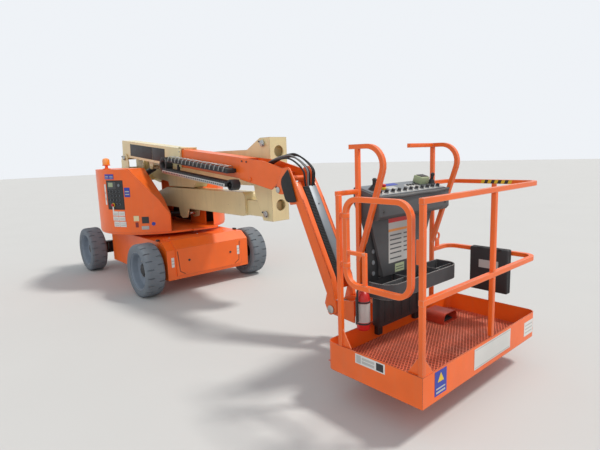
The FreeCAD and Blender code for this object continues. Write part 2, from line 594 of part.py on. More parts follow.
node("upper_tower", cut(fuse(up_beam, hang_plate), *up_bores))

# Rear upright: four plates on a back plate, with the pins of the tower and of the boom.
up_near = "boom_y - base_half - side_gap"
up_mid = "boom_y + base_half + side_gap"
rear_outline = (
    ("boom_x - 150", "1330"),
    ("boom_x + 60", "1290"),
    ("boom_x + 130", "1330"),
    ("boom_x + 130", "up_rear_z + 40"),
    ("boom_x + 70", "boom_z + 60"),
    ("boom_x - 60", "boom_z + 60"),
    ("boom_x - 150", "boom_z - 40"),
)
rear_plates = [prism("XZ_Plane", rear_outline, low, high)
               for low, high in ((up_near + " - plate_t", up_near), (up_mid, up_mid + " + plate_t"),
                                 (near_out + " - plate_t", near_out), (far_out, far_out + " + plate_t"))]
back_plate = box("boom_x - 165", "boom_x - 150", up_near + " - plate_t", far_out + " + plate_t", "1330",
                 "boom_z - 140")
boom_pin = rod("y", "boom_x", up_near + " - plate_t - 8", "boom_z", "pivot_r", "2 * (base_half + side_gap + plate_t) + 8")
tower_pin = rod("y", "up_rear_x", near_out + " - plate_t", "up_rear_z", "pivot_r",
                "2 * (tower_half + side_gap + plate_t) + 8")
lift_foot = rod("y", "lift_foot_x", up_near + " - plate_t", "lift_foot_z", "small_pin_r", "2 * (base_half + side_gap + plate_t)")
node("rear_upright", fuse(back_plate, boom_pin, tower_pin, lift_foot, *rear_plates))

# Main boom in its own frame: pivot at the origin, X along the boom.
at_boom = dict(x="boom_x", y="boom_y", z="boom_z", tilt="boom_tilt")


def hollow(low_x, high_x, half, low_z, high_z, wall):
    """A square tube along the boom."""
    outer = box(low_x, high_x, "-(%s)" % half, half, low_z, high_z)
    bore = box("%s - 1" % low_x, "%s + 1" % high_x, "-(%s - %s)" % (half, wall), "%s - %s" % (half, wall),
               "%s + %s" % (low_z, wall), "%s - %s" % (high_z, wall))
    return cut(outer, bore)


base_tube = hollow("base_rear", "base_front", "base_half", "base_low", "base_high", "tube_wall")
foot_outline = (("-70", "base_low + 5"), ("-40", "-35"), ("0", "-45"), ("40", "-35"), ("140", "base_low + 5"))
feet = [prism("XZ_Plane", foot_outline, low, high)
        for low, high in (("-base_half", "-base_half + plate_t"), ("base_half - plate_t", "base_half"))]
lift_outline = (
    ("lift_along - 80", "base_low + 5"),
    ("lift_along - 28", "lift_up - 28"),
    ("lift_along + 28", "lift_up - 28"),
    ("lift_along + 80", "base_low + 5"),
)
lift_ears = [prism("XZ_Plane", lift_outline, low, high, {1: "20", 2: "20"})
             for low, high in (("-62", "-50"), ("50", "62"))]
lift_bosses = [rod("y", "lift_along", start, "lift_up", "small_pin_r", "26") for start in ("-70", "44")]
pad_t = "wear_gap - pin_gap"
base_pads = [box("base_front - pad_long", "base_front", "-60", "60", "fly_low - (wear_gap)", "fly_low - pin_gap"),
             box("base_front - pad_long", "base_front", "-60", "60", "fly_high + pin_gap", "fly_high + wear_gap")]
fly_pads = [box("fly_rear", "fly_rear + pad_long", "-60", "60", "fly_low - (%s)" % pad_t, "fly_low + 1"),
            box("fly_rear", "fly_rear + pad_long", "-60", "60", "fly_high - 1", "fly_high + %s" % pad_t)]
boom_bore = rod("y", "0", "-200", "0", "pivot_r + running", "400")
node("main_boom", cut(fuse(base_tube, *feet, *lift_ears, *lift_bosses, *base_pads), boom_bore), **at_boom)

# Fly section: a smaller tube with two deep nose plates that carry the jib.
fly_tube = hollow("fly_rear", "fly_nose + 80", "fly_half", "fly_low", "fly_high", "tube_wall")
nose_outline = (
    ("fly_nose", "fly_low + 150"),
    ("fly_nose + 20", "fly_high - nose_drop"),
    ("fly_nose + 560", "fly_high - nose_drop - 40"),
    ("fly_nose + 690", "fly_high - 165"),
    ("fly_end + 40", "fly_high - 175"),
    ("fly_end + 40", "fly_high - 60"),
    ("fly_nose + 400", "fly_high"),
    ("fly_nose", "fly_high"),
)
nose_plates = [prism("XZ_Plane", nose_outline, low, high)
               for low, high in (("-fly_half - plate_t", "-fly_half"), ("fly_half", "fly_half + plate_t"))]
jib_pin = rod("y", "fly_end", "-fly_half - plate_t - 6", "jib_rise", "pivot_r", "2 * (fly_half + plate_t + 6)")
jib_ram_pin = rod("y", "jib_foot_along", "-fly_half - plate_t", "jib_foot_up", "small_pin_r", "2 * (fly_half + plate_t)")
nose_cap = box("fly_nose + 79", "fly_end - 140", "-fly_half", "fly_half", "fly_high - 100", "fly_high - 92")
node("fly_boom", fuse(fly_tube, jib_pin, jib_ram_pin, nose_cap, *nose_plates, *fly_pads), **at_boom)

doc.recompute()

# Jib in its own frame: upper pivot at the origin, X along the jib.
at_jib = dict(x="jib_x", y="boom_y", z="jib_up", tilt="jib_tilt")
jib_outline = (
    ("-50", "-55"),
    ("50", "-90"),
    ("jib_len + 40", "-60"),
    ("jib_len + 45", "50"),
    ("60", "60"),
    ("-50", "50"),
)
jib_plates = [prism("XZ_Plane", jib_outline, low, high, {0: "35", 5: "35", 2: "30", 3: "30"})
              for low, high in (("-jib_half", "-jib_half + plate_t"), ("jib_half - plate_t", "jib_half"))]
jib_back = box("120", "jib_len - 120", "-jib_half", "jib_half", "-62", "-50")
jib_face = box("120", "jib_len - 120", "-jib_half", "jib_half", "32", "44")
jib_bores = [rod("y", station, "-200", "0", "pivot_r + running", "400") for station in ("0", "jib_len")]
node("jib_boom", cut(fuse(jib_back, jib_face, *jib_plates), *jib_bores), **at_jib)

# Levelling link and platform bracket at the foot of the jib.
link_body = rod("y", "0", "-(jib_half - plate_t - 1)", "0", "45", "2 * (jib_half - plate_t - 1)")
link_pin = rod("y", "0", "-(jib_half + 40)", "0", "pivot_r", "2 * (jib_half + 40)")
node("level_link", fuse(link_body, link_pin), x="foot_x", y="boom_y", z="foot_z")

bracket_outline = (
    ("-60", "-60"),
    ("rotor_x - foot_x - rotor_r + 10", "-80"),
    ("rotor_x - foot_x - rotor_r + 10", "110"),
    ("40", "80"),
    ("-50", "50"),
)
cheeks = [prism("XZ_Plane", bracket_outline, low, high, {0: "40", 4: "40"})
          for low, high in (("-(jib_half + side_gap) - plate_t", "-(jib_half + side_gap)"),
                            ("jib_half + side_gap", "jib_half + side_gap + plate_t"))]
yoke_back = box("rotor_x - foot_x - rotor_r - 5", "rotor_x - foot_x - rotor_r + 10", "-(jib_half + side_gap) - plate_t",
                "jib_half + side_gap + plate_t", "rotor_low - foot_z + 50", "110")
rotor_case = rod("z", "rotor_x - foot_x", "0", "rotor_low - foot_z + 40", "rotor_r", "rotor_tall - 80")
bracket_bore = rod("y", "0", "-200", "0", "pivot_r + running", "400")
node("rotator_bracket", cut(fuse(yoke_back, rotor_case, *cheeks), bracket_bore), x="foot_x", y="boom_y", z="foot_z")

# Platform: rotator caps and support arm, floor, toe boards, posts and rails.
lower_cap = rod("z", "rotor_x", "0", "rotor_low", "rotor_r", "40 - pin_gap")
upper_cap = rod("z", "rotor_x", "0", "rotor_low + rotor_tall - 40 + pin_gap", "rotor_r", "40 - pin_gap")
arms = [box("rotor_x", "deck_back", "-62", "62", low, high)
        for low, high in (("rotor_low + 4", "rotor_low + 40 - pin_gap"),
                          ("rotor_low + rotor_tall - 40 + pin_gap", "rotor_low + rotor_tall - 8"))]
node("platform_support", fuse(lower_cap, upper_cap, *arms), y="boom_y")

deck_front = "deck_back + deck_len"
tray = box("deck_back", deck_front, "-deck_half", "deck_half", "deck_low", "deck_low + toe_tall")
tray_well = box("deck_back + toe_t", "deck_back + deck_len - toe_t", "-deck_half + toe_t", "deck_half - toe_t",
                "deck_low + floor_t + 40", "deck_low + toe_tall + 1")
tray_below = box("deck_back + toe_t", "deck_back + deck_len - toe_t", "-deck_half + toe_t", "deck_half - toe_t",
                 "deck_low - 1", "deck_low + 40")
node("platform_deck", cut(tray, tray_well, tray_below), y="boom_y")


def tube(route, radius, bend):
    """A tube along straight runs joined by arcs, as one solid."""
    spots = [FreeCAD.Vector(*(number(item) for item in spot)) for spot in route]
    turn_r = number(bend)
    runs = []
    start = spots[0]
    for before, corner, after in zip(spots, spots[1:], spots[2:]):
        inward = (corner - before).normalize()
        outward = (after - corner).normalize()
        back = turn_r * math.tan(inward.getAngle(outward) / 2)
        arc_start = corner - inward * back
        arc_end = corner + outward * back
        toward = (outward - inward).normalize()
        deep = math.hypot(turn_r, back) - turn_r
        runs.append(Part.LineSegment(start, arc_start).toShape())
        runs.append(Part.Arc(arc_start, corner + toward * deep, arc_end).toShape())
        start = arc_end
    runs.append(Part.LineSegment(start, spots[-1]).toShape())
    way = (spots[1] - spots[0]).normalize()
    section = Part.Wire([Part.Circle(spots[0], way, number(radius)).toShape()])
    thing = doc.addObject("Part::Feature", "tube")
    thing.Shape = Part.Wire(runs).makePipeShell([section], True, True)
    return thing


toe_top = "deck_low + toe_tall"
back_x = "deck_back + rail_r"
front_x = "deck_back + deck_len - rail_r"
left_y = "deck_half - rail_r"
right_y = "-deck_half + rail_r"
top_rail = tube(((back_x, "deck_half - 330", "rail_z"), (back_x, left_y, "rail_z"), (front_x, left_y, "rail_z"),
                 (front_x, right_y, "rail_z")), "rail_r", "bend_r")
mid_rail = tube(((back_x, "deck_half - 330", "mid_z"), (back_x, left_y, "mid_z"), (front_x, left_y, "mid_z"),
                 (front_x, right_y, "mid_z")), "rail_r - 2", "bend_r")
RAIL_POSTS = (
    (back_x, "-deck_half + 120"),
    (back_x, "-deck_half + 330"),
    (back_x, "deck_half - 330"),
    (front_x, right_y),
    (front_x, "0"),
    (front_x, "deck_half - 120"),
    ("deck_back + 120", left_y),
)
posts = [rod("z", x, y, toe_top, "rail_r + 1", "rail_z - (%s)" % toe_top) for x, y in RAIL_POSTS]
short_rail = rod("y", back_x, "-deck_half + 120", "rail_z", "rail_r", "210")
node("platform_rails", fuse(top_rail, mid_rail, short_rail, *posts), y="boom_y")

# Gate on the entry side, hinged at its rear post.
gate_rear = "deck_back + 190"
gate_front = "deck_back + deck_len - 90"
gate_loop = tube(((gate_rear, right_y, "mid_z + 200"), (gate_rear, right_y, "gate_top"), (gate_front, right_y, "gate_top"),
                  (gate_front, right_y, "mid_z"), (gate_rear, right_y, "mid_z"), (gate_rear, right_y, "mid_z + 199")),
                 "rail_r", "bend_r")
node("gate", fuse(gate_loop, gate_loop), y="boom_y")
gate_post = rod("z", "deck_back + 130", right_y, toe_top, "rail_r", "rail_z - (%s)" % toe_top)
gate_eyes = []
for level in ("mid_z + 110", "gate_top - 140"):
    web = box("deck_back + 130", gate_rear, right_y + " - 8", right_y + " + 8", level, level + " + 30")
    ring = rod("z", gate_rear, right_y, level, "rail_r + 9", "30")
    hole = rod("z", gate_rear, right_y, level + " - 1", "rail_r + running", "32")
    gate_eyes.append(cut(fuse(web, ring), hole))
node("gate_post", fuse(gate_post, *gate_eyes), y="boom_y")

# Console with its pedestal.
console_box = box("deck_back - 50", "deck_back + 180", "-400", "400", "1190", "1340")
pedestal = box("deck_back + toe_t + pin_gap", "deck_back + 100", "-300", "300", "800", "1191")
stands = [box("deck_back + toe_t + pin_gap", "deck_back + 46", low, high, "deck_low + 90", "801")
          for low, high in (("-260", "-210"), ("210", "260"))]
node("console", fuse(console_box, pedestal, *stands), y="boom_y")


def ram(name, foot_x, foot_y, foot_z, long, tilt, half, reach, barrel_r, rod_radius):
    """A cylinder: barrel from its foot pin, rod to its eye, lying along X in its own frame."""
    eye = rod("y", "0", "-(%s)" % half, "0", "small_pin_r + 16", "2 * (%s)" % half)
    bore = rod("y", "0", "-(%s) - 1" % half, "0", "small_pin_r + running", "2 * (%s) + 2" % half)
    case = rod("x", "20", "0", "0", barrel_r, "(%s) - 20" % reach)
    hollow_case = rod("x", "60", "0", "0", "%s + running" % rod_radius, reach)
    node(name + "_barrel", cut(fuse(eye, case), bore, hollow_case), x=foot_x, y=foot_y, z=foot_z, tilt=tilt)
    stem = rod("x", "80", "0", "0", rod_radius, "(%s) - 80" % long)
    end = rod("y", long, "-(%s)" % half, "0", "small_pin_r + 12", "2 * (%s)" % half)
    node(name + "_rod", fuse(stem, end), x=foot_x, y=foot_y, z=foot_z, tilt=tilt)


ram("tower_ram", "ram_foot_x", "tower_y", "ram_foot_z", "tower_ram_long", "tower_ram_tilt", "36",
    "tower_ram_long - 60", "ram_r", "rod_r")
ram("boom_ram", "lift_foot_x", "boom_y", "lift_foot_z", "lift_ram_long", "lift_ram_tilt", "36",
    "lift_ram_long - 60", "ram_r", "rod_r")
ram("jib_ram", "jib_foot_x", "boom_y", "jib_foot_z", "jib_ram_long", "jib_ram_tilt", "30",
    "jib_ram_long - 60", "ram_r - 8", "rod_r - 8")

# Write every sub-part once all of them are sound.
doc.recompute()
for item in doc.Objects:
    if "Invalid" in item.State or "Error" in item.State:
        raise RuntimeError("object %s (%s) failed: %s" % (item.Name, item.Label, item.State))
os.makedirs("parts", exist_ok=True)
for name, thing in parts.items():
    shape = thing.Shape
    if shape.isNull() or not shape.isValid():
        raise RuntimeError("sub-part %s has no sound shape" % name)
    shape.exportStep("parts/%s.step" % name)
    limits = shape.BoundBox
    print("%-18s solids %d  x %.0f %.0f  y %.0f %.0f  z %.0f %.0f" % (
        name, len(shape.Solids), limits.XMin, limits.XMax, limits.YMin, limits.YMax, limits.ZMin, limits.ZMax))
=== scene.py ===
import logging
import math
import random
from dataclasses import dataclass, field
from enum import Enum
from typing import Any, Dict, List, Optional, Sequence, Tuple, Union

import bmesh
import bpy
from mathutils import Matrix, Vector


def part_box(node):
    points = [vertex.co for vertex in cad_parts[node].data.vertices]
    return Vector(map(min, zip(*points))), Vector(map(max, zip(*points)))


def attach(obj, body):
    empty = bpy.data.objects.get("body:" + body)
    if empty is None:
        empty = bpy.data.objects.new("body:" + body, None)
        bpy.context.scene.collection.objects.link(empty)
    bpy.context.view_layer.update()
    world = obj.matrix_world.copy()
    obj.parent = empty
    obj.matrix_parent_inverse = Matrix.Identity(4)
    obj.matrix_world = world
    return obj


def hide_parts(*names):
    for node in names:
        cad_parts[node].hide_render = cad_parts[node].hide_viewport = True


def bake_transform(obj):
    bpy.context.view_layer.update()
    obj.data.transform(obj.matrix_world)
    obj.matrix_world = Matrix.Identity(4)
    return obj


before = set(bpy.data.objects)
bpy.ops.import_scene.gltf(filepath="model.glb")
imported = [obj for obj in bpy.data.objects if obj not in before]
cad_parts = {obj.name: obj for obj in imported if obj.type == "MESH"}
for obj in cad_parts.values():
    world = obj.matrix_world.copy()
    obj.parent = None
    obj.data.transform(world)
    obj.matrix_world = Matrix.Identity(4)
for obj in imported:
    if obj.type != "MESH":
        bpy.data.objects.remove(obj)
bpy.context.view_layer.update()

# Stations are measured from the slewing axis and moved to the part's origin.
MIDDLE = 1.83625
BOOM_Y = -0.09
TOWER_Y = 0.2
BOOM_TILT = math.radians(5.5)
JIB_TILT = math.radians(64)
LABEL_T = 0.0012
Colour = Tuple[float, float, float]
Point = Sequence[float]
log = logging.getLogger("boom_lift")


def spot(x: float, y: float, z: float) -> Vector:
    """Turn a station, side and height of the machine into a point of the part's frame."""
    return Vector((x - MIDDLE, y, z))


def seat(x: float, side: float, z: float) -> Vector:
    """Turn a station, a distance from the platform's middle plane and a height into a point."""
    return spot(x, BOOM_Y + side, z)


@dataclass(frozen=True)
class Slope:
    """A frame that lies along a sloping arm."""

    x: float
    y: float
    z: float
    tilt: float

    def at(self, along: float, side: float, up: float) -> Vector:
        """Turn a place on the arm into a point of the part's frame.

        Args:
            along: distance from the arm's pivot along it.
            side: distance to the left of the arm's middle plane.
            up: distance above the arm's middle line.

        Returns:
            The point in the part's frame.
        """
        cos, sin = math.cos(self.tilt), math.sin(self.tilt)
        return spot(self.x + along * cos + up * sin, self.y + side, self.z - along * sin + up * cos)

    def turn(self) -> Matrix:
        """Return the rotation that lays a form along the arm."""
        return Matrix.Rotation(self.tilt, 4, "Y")

    def matrix(self) -> Matrix:
        """Return the place and turn of the arm's own frame."""
        return Matrix.Translation(self.at(0, 0, 0)) @ self.turn()


BOOM = Slope(-0.8, BOOM_Y, 1.7, BOOM_TILT)
JIB_X = -0.8 + 3.93 * math.cos(BOOM_TILT) + 0.117 * math.sin(BOOM_TILT)
JIB_Z = 1.7 - 3.93 * math.sin(BOOM_TILT) + 0.117 * math.cos(BOOM_TILT)
JIB = Slope(JIB_X, BOOM_Y, JIB_Z, JIB_TILT)


class Shade:
    """A number on a surface that takes ordinary operators."""

    def __init__(self, tree: "Tree", socket: bpy.types.NodeSocket) -> None:
        """Wrap one socket of a node tree."""
        self.tree = tree
        self.socket = socket

    def _math(self, operation: str, other: Any = None, swap: bool = False) -> "Shade":
        """Add a Math node on this number and another one."""
        pair = [self] if other is None else ([other, self] if swap else [self, other])
        node = self.tree.make("ShaderNodeMath", {"operation": operation}, dict(enumerate(pair)))
        return Shade(self.tree, node.outputs[0])

    def __add__(self, other: Any) -> "Shade":
        """Add."""
        return self._math("ADD", other)

    __radd__ = __add__

    def __sub__(self, other: Any) -> "Shade":
        """Take away."""
        return self._math("SUBTRACT", other)

    def __rsub__(self, other: Any) -> "Shade":
        """Take this number away from another."""
        return self._math("SUBTRACT", other, True)

    def __mul__(self, other: Any) -> "Shade":
        """Multiply."""
        return self._math("MULTIPLY", other)

    __rmul__ = __mul__

    def __truediv__(self, other: Any) -> "Shade":
        """Divide."""
        return self._math("DIVIDE", other)

    def __pow__(self, other: Any) -> "Shade":
        """Raise to a power."""
        return self._math("POWER", other)

    def __gt__(self, other: Any) -> "Shade":
        """Give 1 where this number is larger."""
        return self._math("GREATER_THAN", other)

    def step(self, low: float, high: float) -> "Shade":
        """Rise smoothly from 0 to 1 between two numbers."""
        node = self.tree.make("ShaderNodeMapRange", {"interpolation_type": "SMOOTHSTEP"},
                              {"Value": self, "From Min": low, "From Max": high})
        return Shade(self.tree, node.outputs[0])

    def wave(self) -> "Shade":
        """Take the sine."""
        return self._math("SINE")

    def size(self) -> "Shade":
        """Take the absolute value."""
        return self._math("ABSOLUTE")


class Tree:
    """The node tree of one material."""

    def __init__(self, name: str) -> None:
        """Start an empty material."""
        self.material = bpy.data.materials.new(name)
        self.material.use_nodes = True
        self.nodes = self.material.node_tree
        self.nodes.nodes.clear()
        self.place = self.make("ShaderNodeTexCoord", {}, {}).outputs["Object"]
        self.geometry = self.make("ShaderNodeNewGeometry", {}, {})

    def make(self, kind: str, settings: Dict[str, Any], sockets: Dict[Any, Any]) -> bpy.types.Node:
        """Add a node.

        Args:
            kind: the node's type.
            settings: its properties.
            sockets: values or links of its inputs, by name or number.

        Returns:
            The node.
        """
        node = self.nodes.nodes.new(kind)
        for name, value in settings.items():
            setattr(node, name, value)
        for name, value in sockets.items():
            self.feed(node.inputs[name], value)
        return node

    def feed(self, socket: bpy.types.NodeSocket, value: Any) -> None:
        """Set an input to a value, or link it."""
        if isinstance(value, Shade):
            self.nodes.links.new(value.socket, socket)
        elif isinstance(value, bpy.types.NodeSocket):
            self.nodes.links.new(value, socket)
        elif isinstance(value, tuple) and len(value) == 3 and socket.type == "RGBA":
            socket.default_value = (*value, 1.0)
        else:
            socket.default_value = value

    def noise(self, scale: float, detail: float = 3.0, stretch: Optional[Point] = None) -> Shade:
        """Return a cloud pattern, stretched along the axes if asked."""
        vector = self.place
        if stretch is not None:
            vector = self.make("ShaderNodeMapping", {}, {"Vector": vector, "Scale": tuple(stretch)}).outputs[0]
        node = self.make("ShaderNodeTexNoise", {}, {"Vector": vector, "Scale": scale, "Detail": detail})
        return Shade(self, node.outputs["Fac"])

    def axis(self, source: bpy.types.NodeSocket, letter: str) -> Shade:
        """Return one part of a vector."""
        return Shade(self, self.make("ShaderNodeSeparateXYZ", {}, {0: source}).outputs[letter])

    def mix(self, factor: Any, one: Any, other: Any, kind: str = "MIX") -> bpy.types.NodeSocket:
        """Mix two colours."""
        node = self.make("ShaderNodeMix", {"data_type": "RGBA", "blend_type": kind},
                         {0: factor, 6: one, 7: other})
        return node.outputs[2]

    def rounded(self, radius: float) -> bpy.types.NodeSocket:
        """Return the normal of a surface whose sharp edges are softened."""
        return self.make("ShaderNodeBevel", {"samples": 6}, {"Radius": radius}).outputs[0]

    def edges(self, radius: float) -> Shade:
        """Return how near a surface is to a sharp edge, from 0 to about 1."""
        dot = self.make("ShaderNodeVectorMath", {"operation": "DOT_PRODUCT"},
                        {0: self.rounded(radius), 1: self.geometry.outputs["Normal"]})
        return 1 - Shade(self, dot.outputs["Value"])

    def bump(self, height: Shade, distance: float, normal: Any = None, strength: float = 1.0) -> bpy.types.NodeSocket:
        """Return the normal of a surface raised by a height."""
        sockets = {"Height": height, "Distance": distance, "Strength": strength}
        if normal is not None:
            sockets["Normal"] = normal
        return self.make("ShaderNodeBump", {}, sockets).outputs[0]

    def close(self, sockets: Dict[str, Any]) -> bpy.types.Material:
        """Add the surface shader and the output."""
        shader = self.make("ShaderNodeBsdfPrincipled", {}, sockets)
        self.make("ShaderNodeOutputMaterial", {}, {"Surface": shader.outputs[0]})
        return self.material


@dataclass(frozen=True)
class Finish:
    """A surface: its colour, gloss, grain, dust and wear, whose pale colours on the rails and the floor mesh also paint
    highlights.
    """

    name: str
    colour: Colour
    roughness: float = 0.5
    metallic: float = 0.0
    coat: float = 0.0
    shade: float = 0.12
    grain: float = 0.00015
    grain_scale: float = 240.0
    dust: float = 0.35
    dust_and_sheen_colour: Colour = (0.36, 0.31, 0.25)
    low_dirt: float = 0.0
    chips: float = 0.0
    chip_and_highlight_colour: Colour = (0.10, 0.07, 0.055)
    soften: float = 0.0025
    streak: float = 0.0

    def base(self, tree: Tree) -> Any:
        """Return the clean colour with its slow change over the surface."""
        cloud = tree.noise(2.3, 4.0)
        dark = tuple(channel * (1 - self.shade) for channel in self.colour)
        light = tuple(min(1.0, channel * (1 + self.shade)) for channel in self.colour)
        return tree.mix(cloud.step(0.3, 0.7), dark, light)

    def build(self) -> bpy.types.Material:
        """Make the material."""
        tree = Tree(self.name)
        colour = self.base(tree)
        roughness = tree.noise(9.0, 5.0) * 0.22 + (self.roughness - 0.11)
        upward = tree.axis(tree.geometry.outputs["Normal"], "Z").step(0.25, 0.95)
        speckle = tree.noise(26.0, 8.0)
        patches = tree.noise(4.0, 6.0)
        # Dust lies more on upward faces; on the rails and the floor mesh its pale pinkish colour is also a painted
        # highlight on their tops.
        dust = (upward * 0.75 + 0.25) * (speckle * 0.45 + patches * 0.75).step(0.42, 0.95) * self.dust
        if self.low_dirt:
            height = tree.axis(tree.place, "Z")
            dust = dust + (1 - height.step(0.1, 0.75)) * speckle.step(0.28, 0.75) * self.low_dirt
        if self.streak:
            runs = tree.noise(7.0, 4.0, (3.0, 3.0, 0.22)).step(0.52, 0.75)
            colour = tree.mix(runs * self.streak, colour, self.dust_and_sheen_colour)
        colour = tree.mix(dust.step(0.0, 1.0), colour, self.dust_and_sheen_colour)
        if self.chips:
            # Worn edges and spots; on the rails their pale colour is also a painted highlight along the edges of the
            # tubes.
            wear_and_highlight = (tree.edges(0.006) * 9.0 + tree.noise(38.0, 6.0) - 0.98).step(0.0, 0.16) * self.chips
            spots = tree.noise(17.0, 9.0).step(0.735, 0.75) * self.chips
            colour = tree.mix(wear_and_highlight + spots, colour, self.chip_and_highlight_colour)
            roughness = roughness + wear_and_highlight * 0.25
        normal = tree.bump(tree.noise(self.grain_scale, 2.0), self.grain,
                           tree.rounded(self.soften) if self.soften else None)
        return tree.close({"Base Color": colour, "Roughness": roughness + dust * 0.3, "Metallic": self.metallic,
                           "Coat Weight": self.coat, "Coat Roughness": 0.12, "Normal": normal})


@dataclass(frozen=True)
class Brushed(Finish):
    """Bare bright metal with fine lines along it."""

    def base(self, tree: Tree) -> Any:
        """Return the metal's colour with its fine lines."""
        lines = tree.noise(30.0, 3.0, (0.6, 12.0, 12.0))
        dark = tuple(channel * 0.75 for channel in self.colour)
        return tree.mix(lines, dark, self.colour)


@dataclass(frozen=True)
class Lens(Finish):
    """A clear coloured lens with upright ribs and a faint painted glow."""

    ribs: float = 60.0

    def build(self) -> bpy.types.Material:
        """Make the material."""
        tree = Tree(self.name)
        wave = (tree.axis(tree.place, "X") * self.ribs * 8).wave()
        normal = tree.bump(wave, 0.0008)
        colour = tree.mix(tree.noise(20.0).step(0.3, 0.8) * 0.4, self.colour,
                          tuple(channel * 0.6 for channel in self.colour))
        # Painted glow: the faint emission makes the lens shine by itself.
        return tree.close({"Base Color": colour, "Roughness": self.roughness, "Coat Weight": 1.0,
                           "Coat Roughness": 0.05, "Normal": normal, "Emission Color": self.colour,
                           "Emission Strength": 0.12})


class Paint(Enum):
    """The finishes of the machine."""

    ORANGE = Finish("orange_paint", (0.90, 0.135, 0.006), 0.45, coat=0.2, dust=0.14, low_dirt=0.12, chips=0.75,
                    streak=0.10, shade=0.08, dust_and_sheen_colour=(0.50, 0.24, 0.12))
    DECK = Finish("dusty_deck", (0.52, 0.085, 0.022), 0.62, dust=0.9, low_dirt=0.1, chips=0.6, shade=0.2,
                  dust_and_sheen_colour=(0.24, 0.15, 0.115))
    CREAM = Finish("cream_paint", (0.78, 0.655, 0.36), 0.45, coat=0.3, dust=0.18, chips=0.7, streak=0.16,
                   shade=0.07, dust_and_sheen_colour=(0.40, 0.33, 0.20), chip_and_highlight_colour=(0.16, 0.08, 0.04))
    TYRE = Finish("grey_tyre", (0.155, 0.178, 0.205), 0.82, grain=0.0006, grain_scale=120.0, dust=0.30,
                  low_dirt=0.25, soften=0.004, dust_and_sheen_colour=(0.29, 0.28, 0.26))
    RIM = Finish("grey_rim", (0.225, 0.265, 0.32), 0.55, dust=0.32, low_dirt=0.2, chips=0.4,
                 dust_and_sheen_colour=(0.30, 0.29, 0.27))
    BLACK_STEEL = Finish("black_steel", (0.018, 0.019, 0.021), 0.5, dust=0.25, chips=0.4,
                         chip_and_highlight_colour=(0.2, 0.19, 0.18))
    BLACK_PLASTIC = Finish("black_plastic", (0.022, 0.022, 0.024), 0.55, dust=0.28, grain=0.0003)
    RUBBER = Finish("black_rubber", (0.016, 0.016, 0.017), 0.7, dust=0.2, grain=0.0002, soften=0.0)
    GREY_PLASTIC = Finish("grey_plastic", (0.075, 0.078, 0.082), 0.6, dust=0.45, chips=0.35, grain=0.0005,
                          chip_and_highlight_colour=(0.33, 0.30, 0.26))
    WORN_PLASTIC = Finish("worn_grey_plastic", (0.062, 0.064, 0.068), 0.65, dust=0.6, chips=0.9, grain=0.0005,
                          dust_and_sheen_colour=(0.30, 0.29, 0.27), chip_and_highlight_colour=(0.42, 0.41, 0.39))
    GREY_STEEL = Finish("grey_steel", (0.20, 0.22, 0.24), 0.42, metallic=0.55, dust=0.25, chips=0.3)
    ZINC = Brushed("zinc_steel", (0.55, 0.55, 0.53), 0.38, metallic=0.9, dust=0.2)
    ROD = Brushed("bright_rod", (0.62, 0.62, 0.62), 0.16, metallic=1.0, dust=0.05, grain=0.00002)
    AMBER = Lens("amber_lens", (0.90, 0.27, 0.02), 0.25)
    WHITE = Finish("white_plate", (0.70, 0.69, 0.66), 0.5, dust=0.22, chips=0.15, soften=0.0)
    BLUE = Finish("blue_plate", (0.022, 0.045, 0.36), 0.42, dust=0.15, soften=0.0)
    RED = Finish("red_knob", (0.55, 0.012, 0.010), 0.38, dust=0.12, soften=0.0015)
    YELLOW = Finish("yellow_plate", (0.75, 0.50, 0.02), 0.45, dust=0.1, soften=0.0)
    # Floor mesh: the heavy pale pinkish dust is dust and also painted glints on the strands.
    MESH_RED = Finish("floor_mesh", (0.70, 0.15, 0.075), 0.7, dust=0.5, shade=0.2, soften=0.0,
                      dust_and_sheen_colour=(0.55, 0.34, 0.28))
    SWITCH_RED = Finish("foot_switch_red", (0.52, 0.048, 0.018), 0.5, dust=0.3, chips=0.3)
    PALE = Finish("pale_decal", (0.46, 0.46, 0.44), 0.5, dust=0.3, soften=0.0)
    # Rails: the pale pinkish dust and wear colours are dust and wear and also a painted highlight on the tops and edges
    # of the tubes.
    RAIL = Finish("orange_rail_wear_and_painted_highlight", (0.88, 0.135, 0.008), 0.45, coat=0.2, dust=0.16, chips=0.7, shade=0.10,
                  dust_and_sheen_colour=(0.60, 0.33, 0.20), chip_and_highlight_colour=(0.62, 0.36, 0.24))
    # Painted shade: a dark, shaded copy of the red and orange paint, laid as thin sheets under the floor mesh and in
    # the seams of the end cover.
    PAINTED_SHADE_GAP = Finish("painted_shade_gap", (0.105, 0.030, 0.020), 0.9, dust=0.2, soften=0.0)
    AMBER_BAND = Finish("amber_band", (0.72, 0.28, 0.07), 0.5, dust=0.15, soften=0.0)
    GREEN_PALE = Finish("pale_green_plate", (0.36, 0.42, 0.25), 0.5, dust=0.2, soften=0.0)
    DARK_RED = Finish("dark_red_plate", (0.22, 0.016, 0.016), 0.5, dust=0.15, soften=0.0)
    HOSE_GREY = Finish("grey_hose", (0.20, 0.20, 0.20), 0.55, dust=0.25, soften=0.0)


MADE: Dict[Paint, bpy.types.Material] = {}


def material(paint: Paint) -> bpy.types.Material:
    """Return a finish's material, made at its first use."""
    if paint not in MADE:
        MADE[paint] = paint.value.build()
    return MADE[paint]


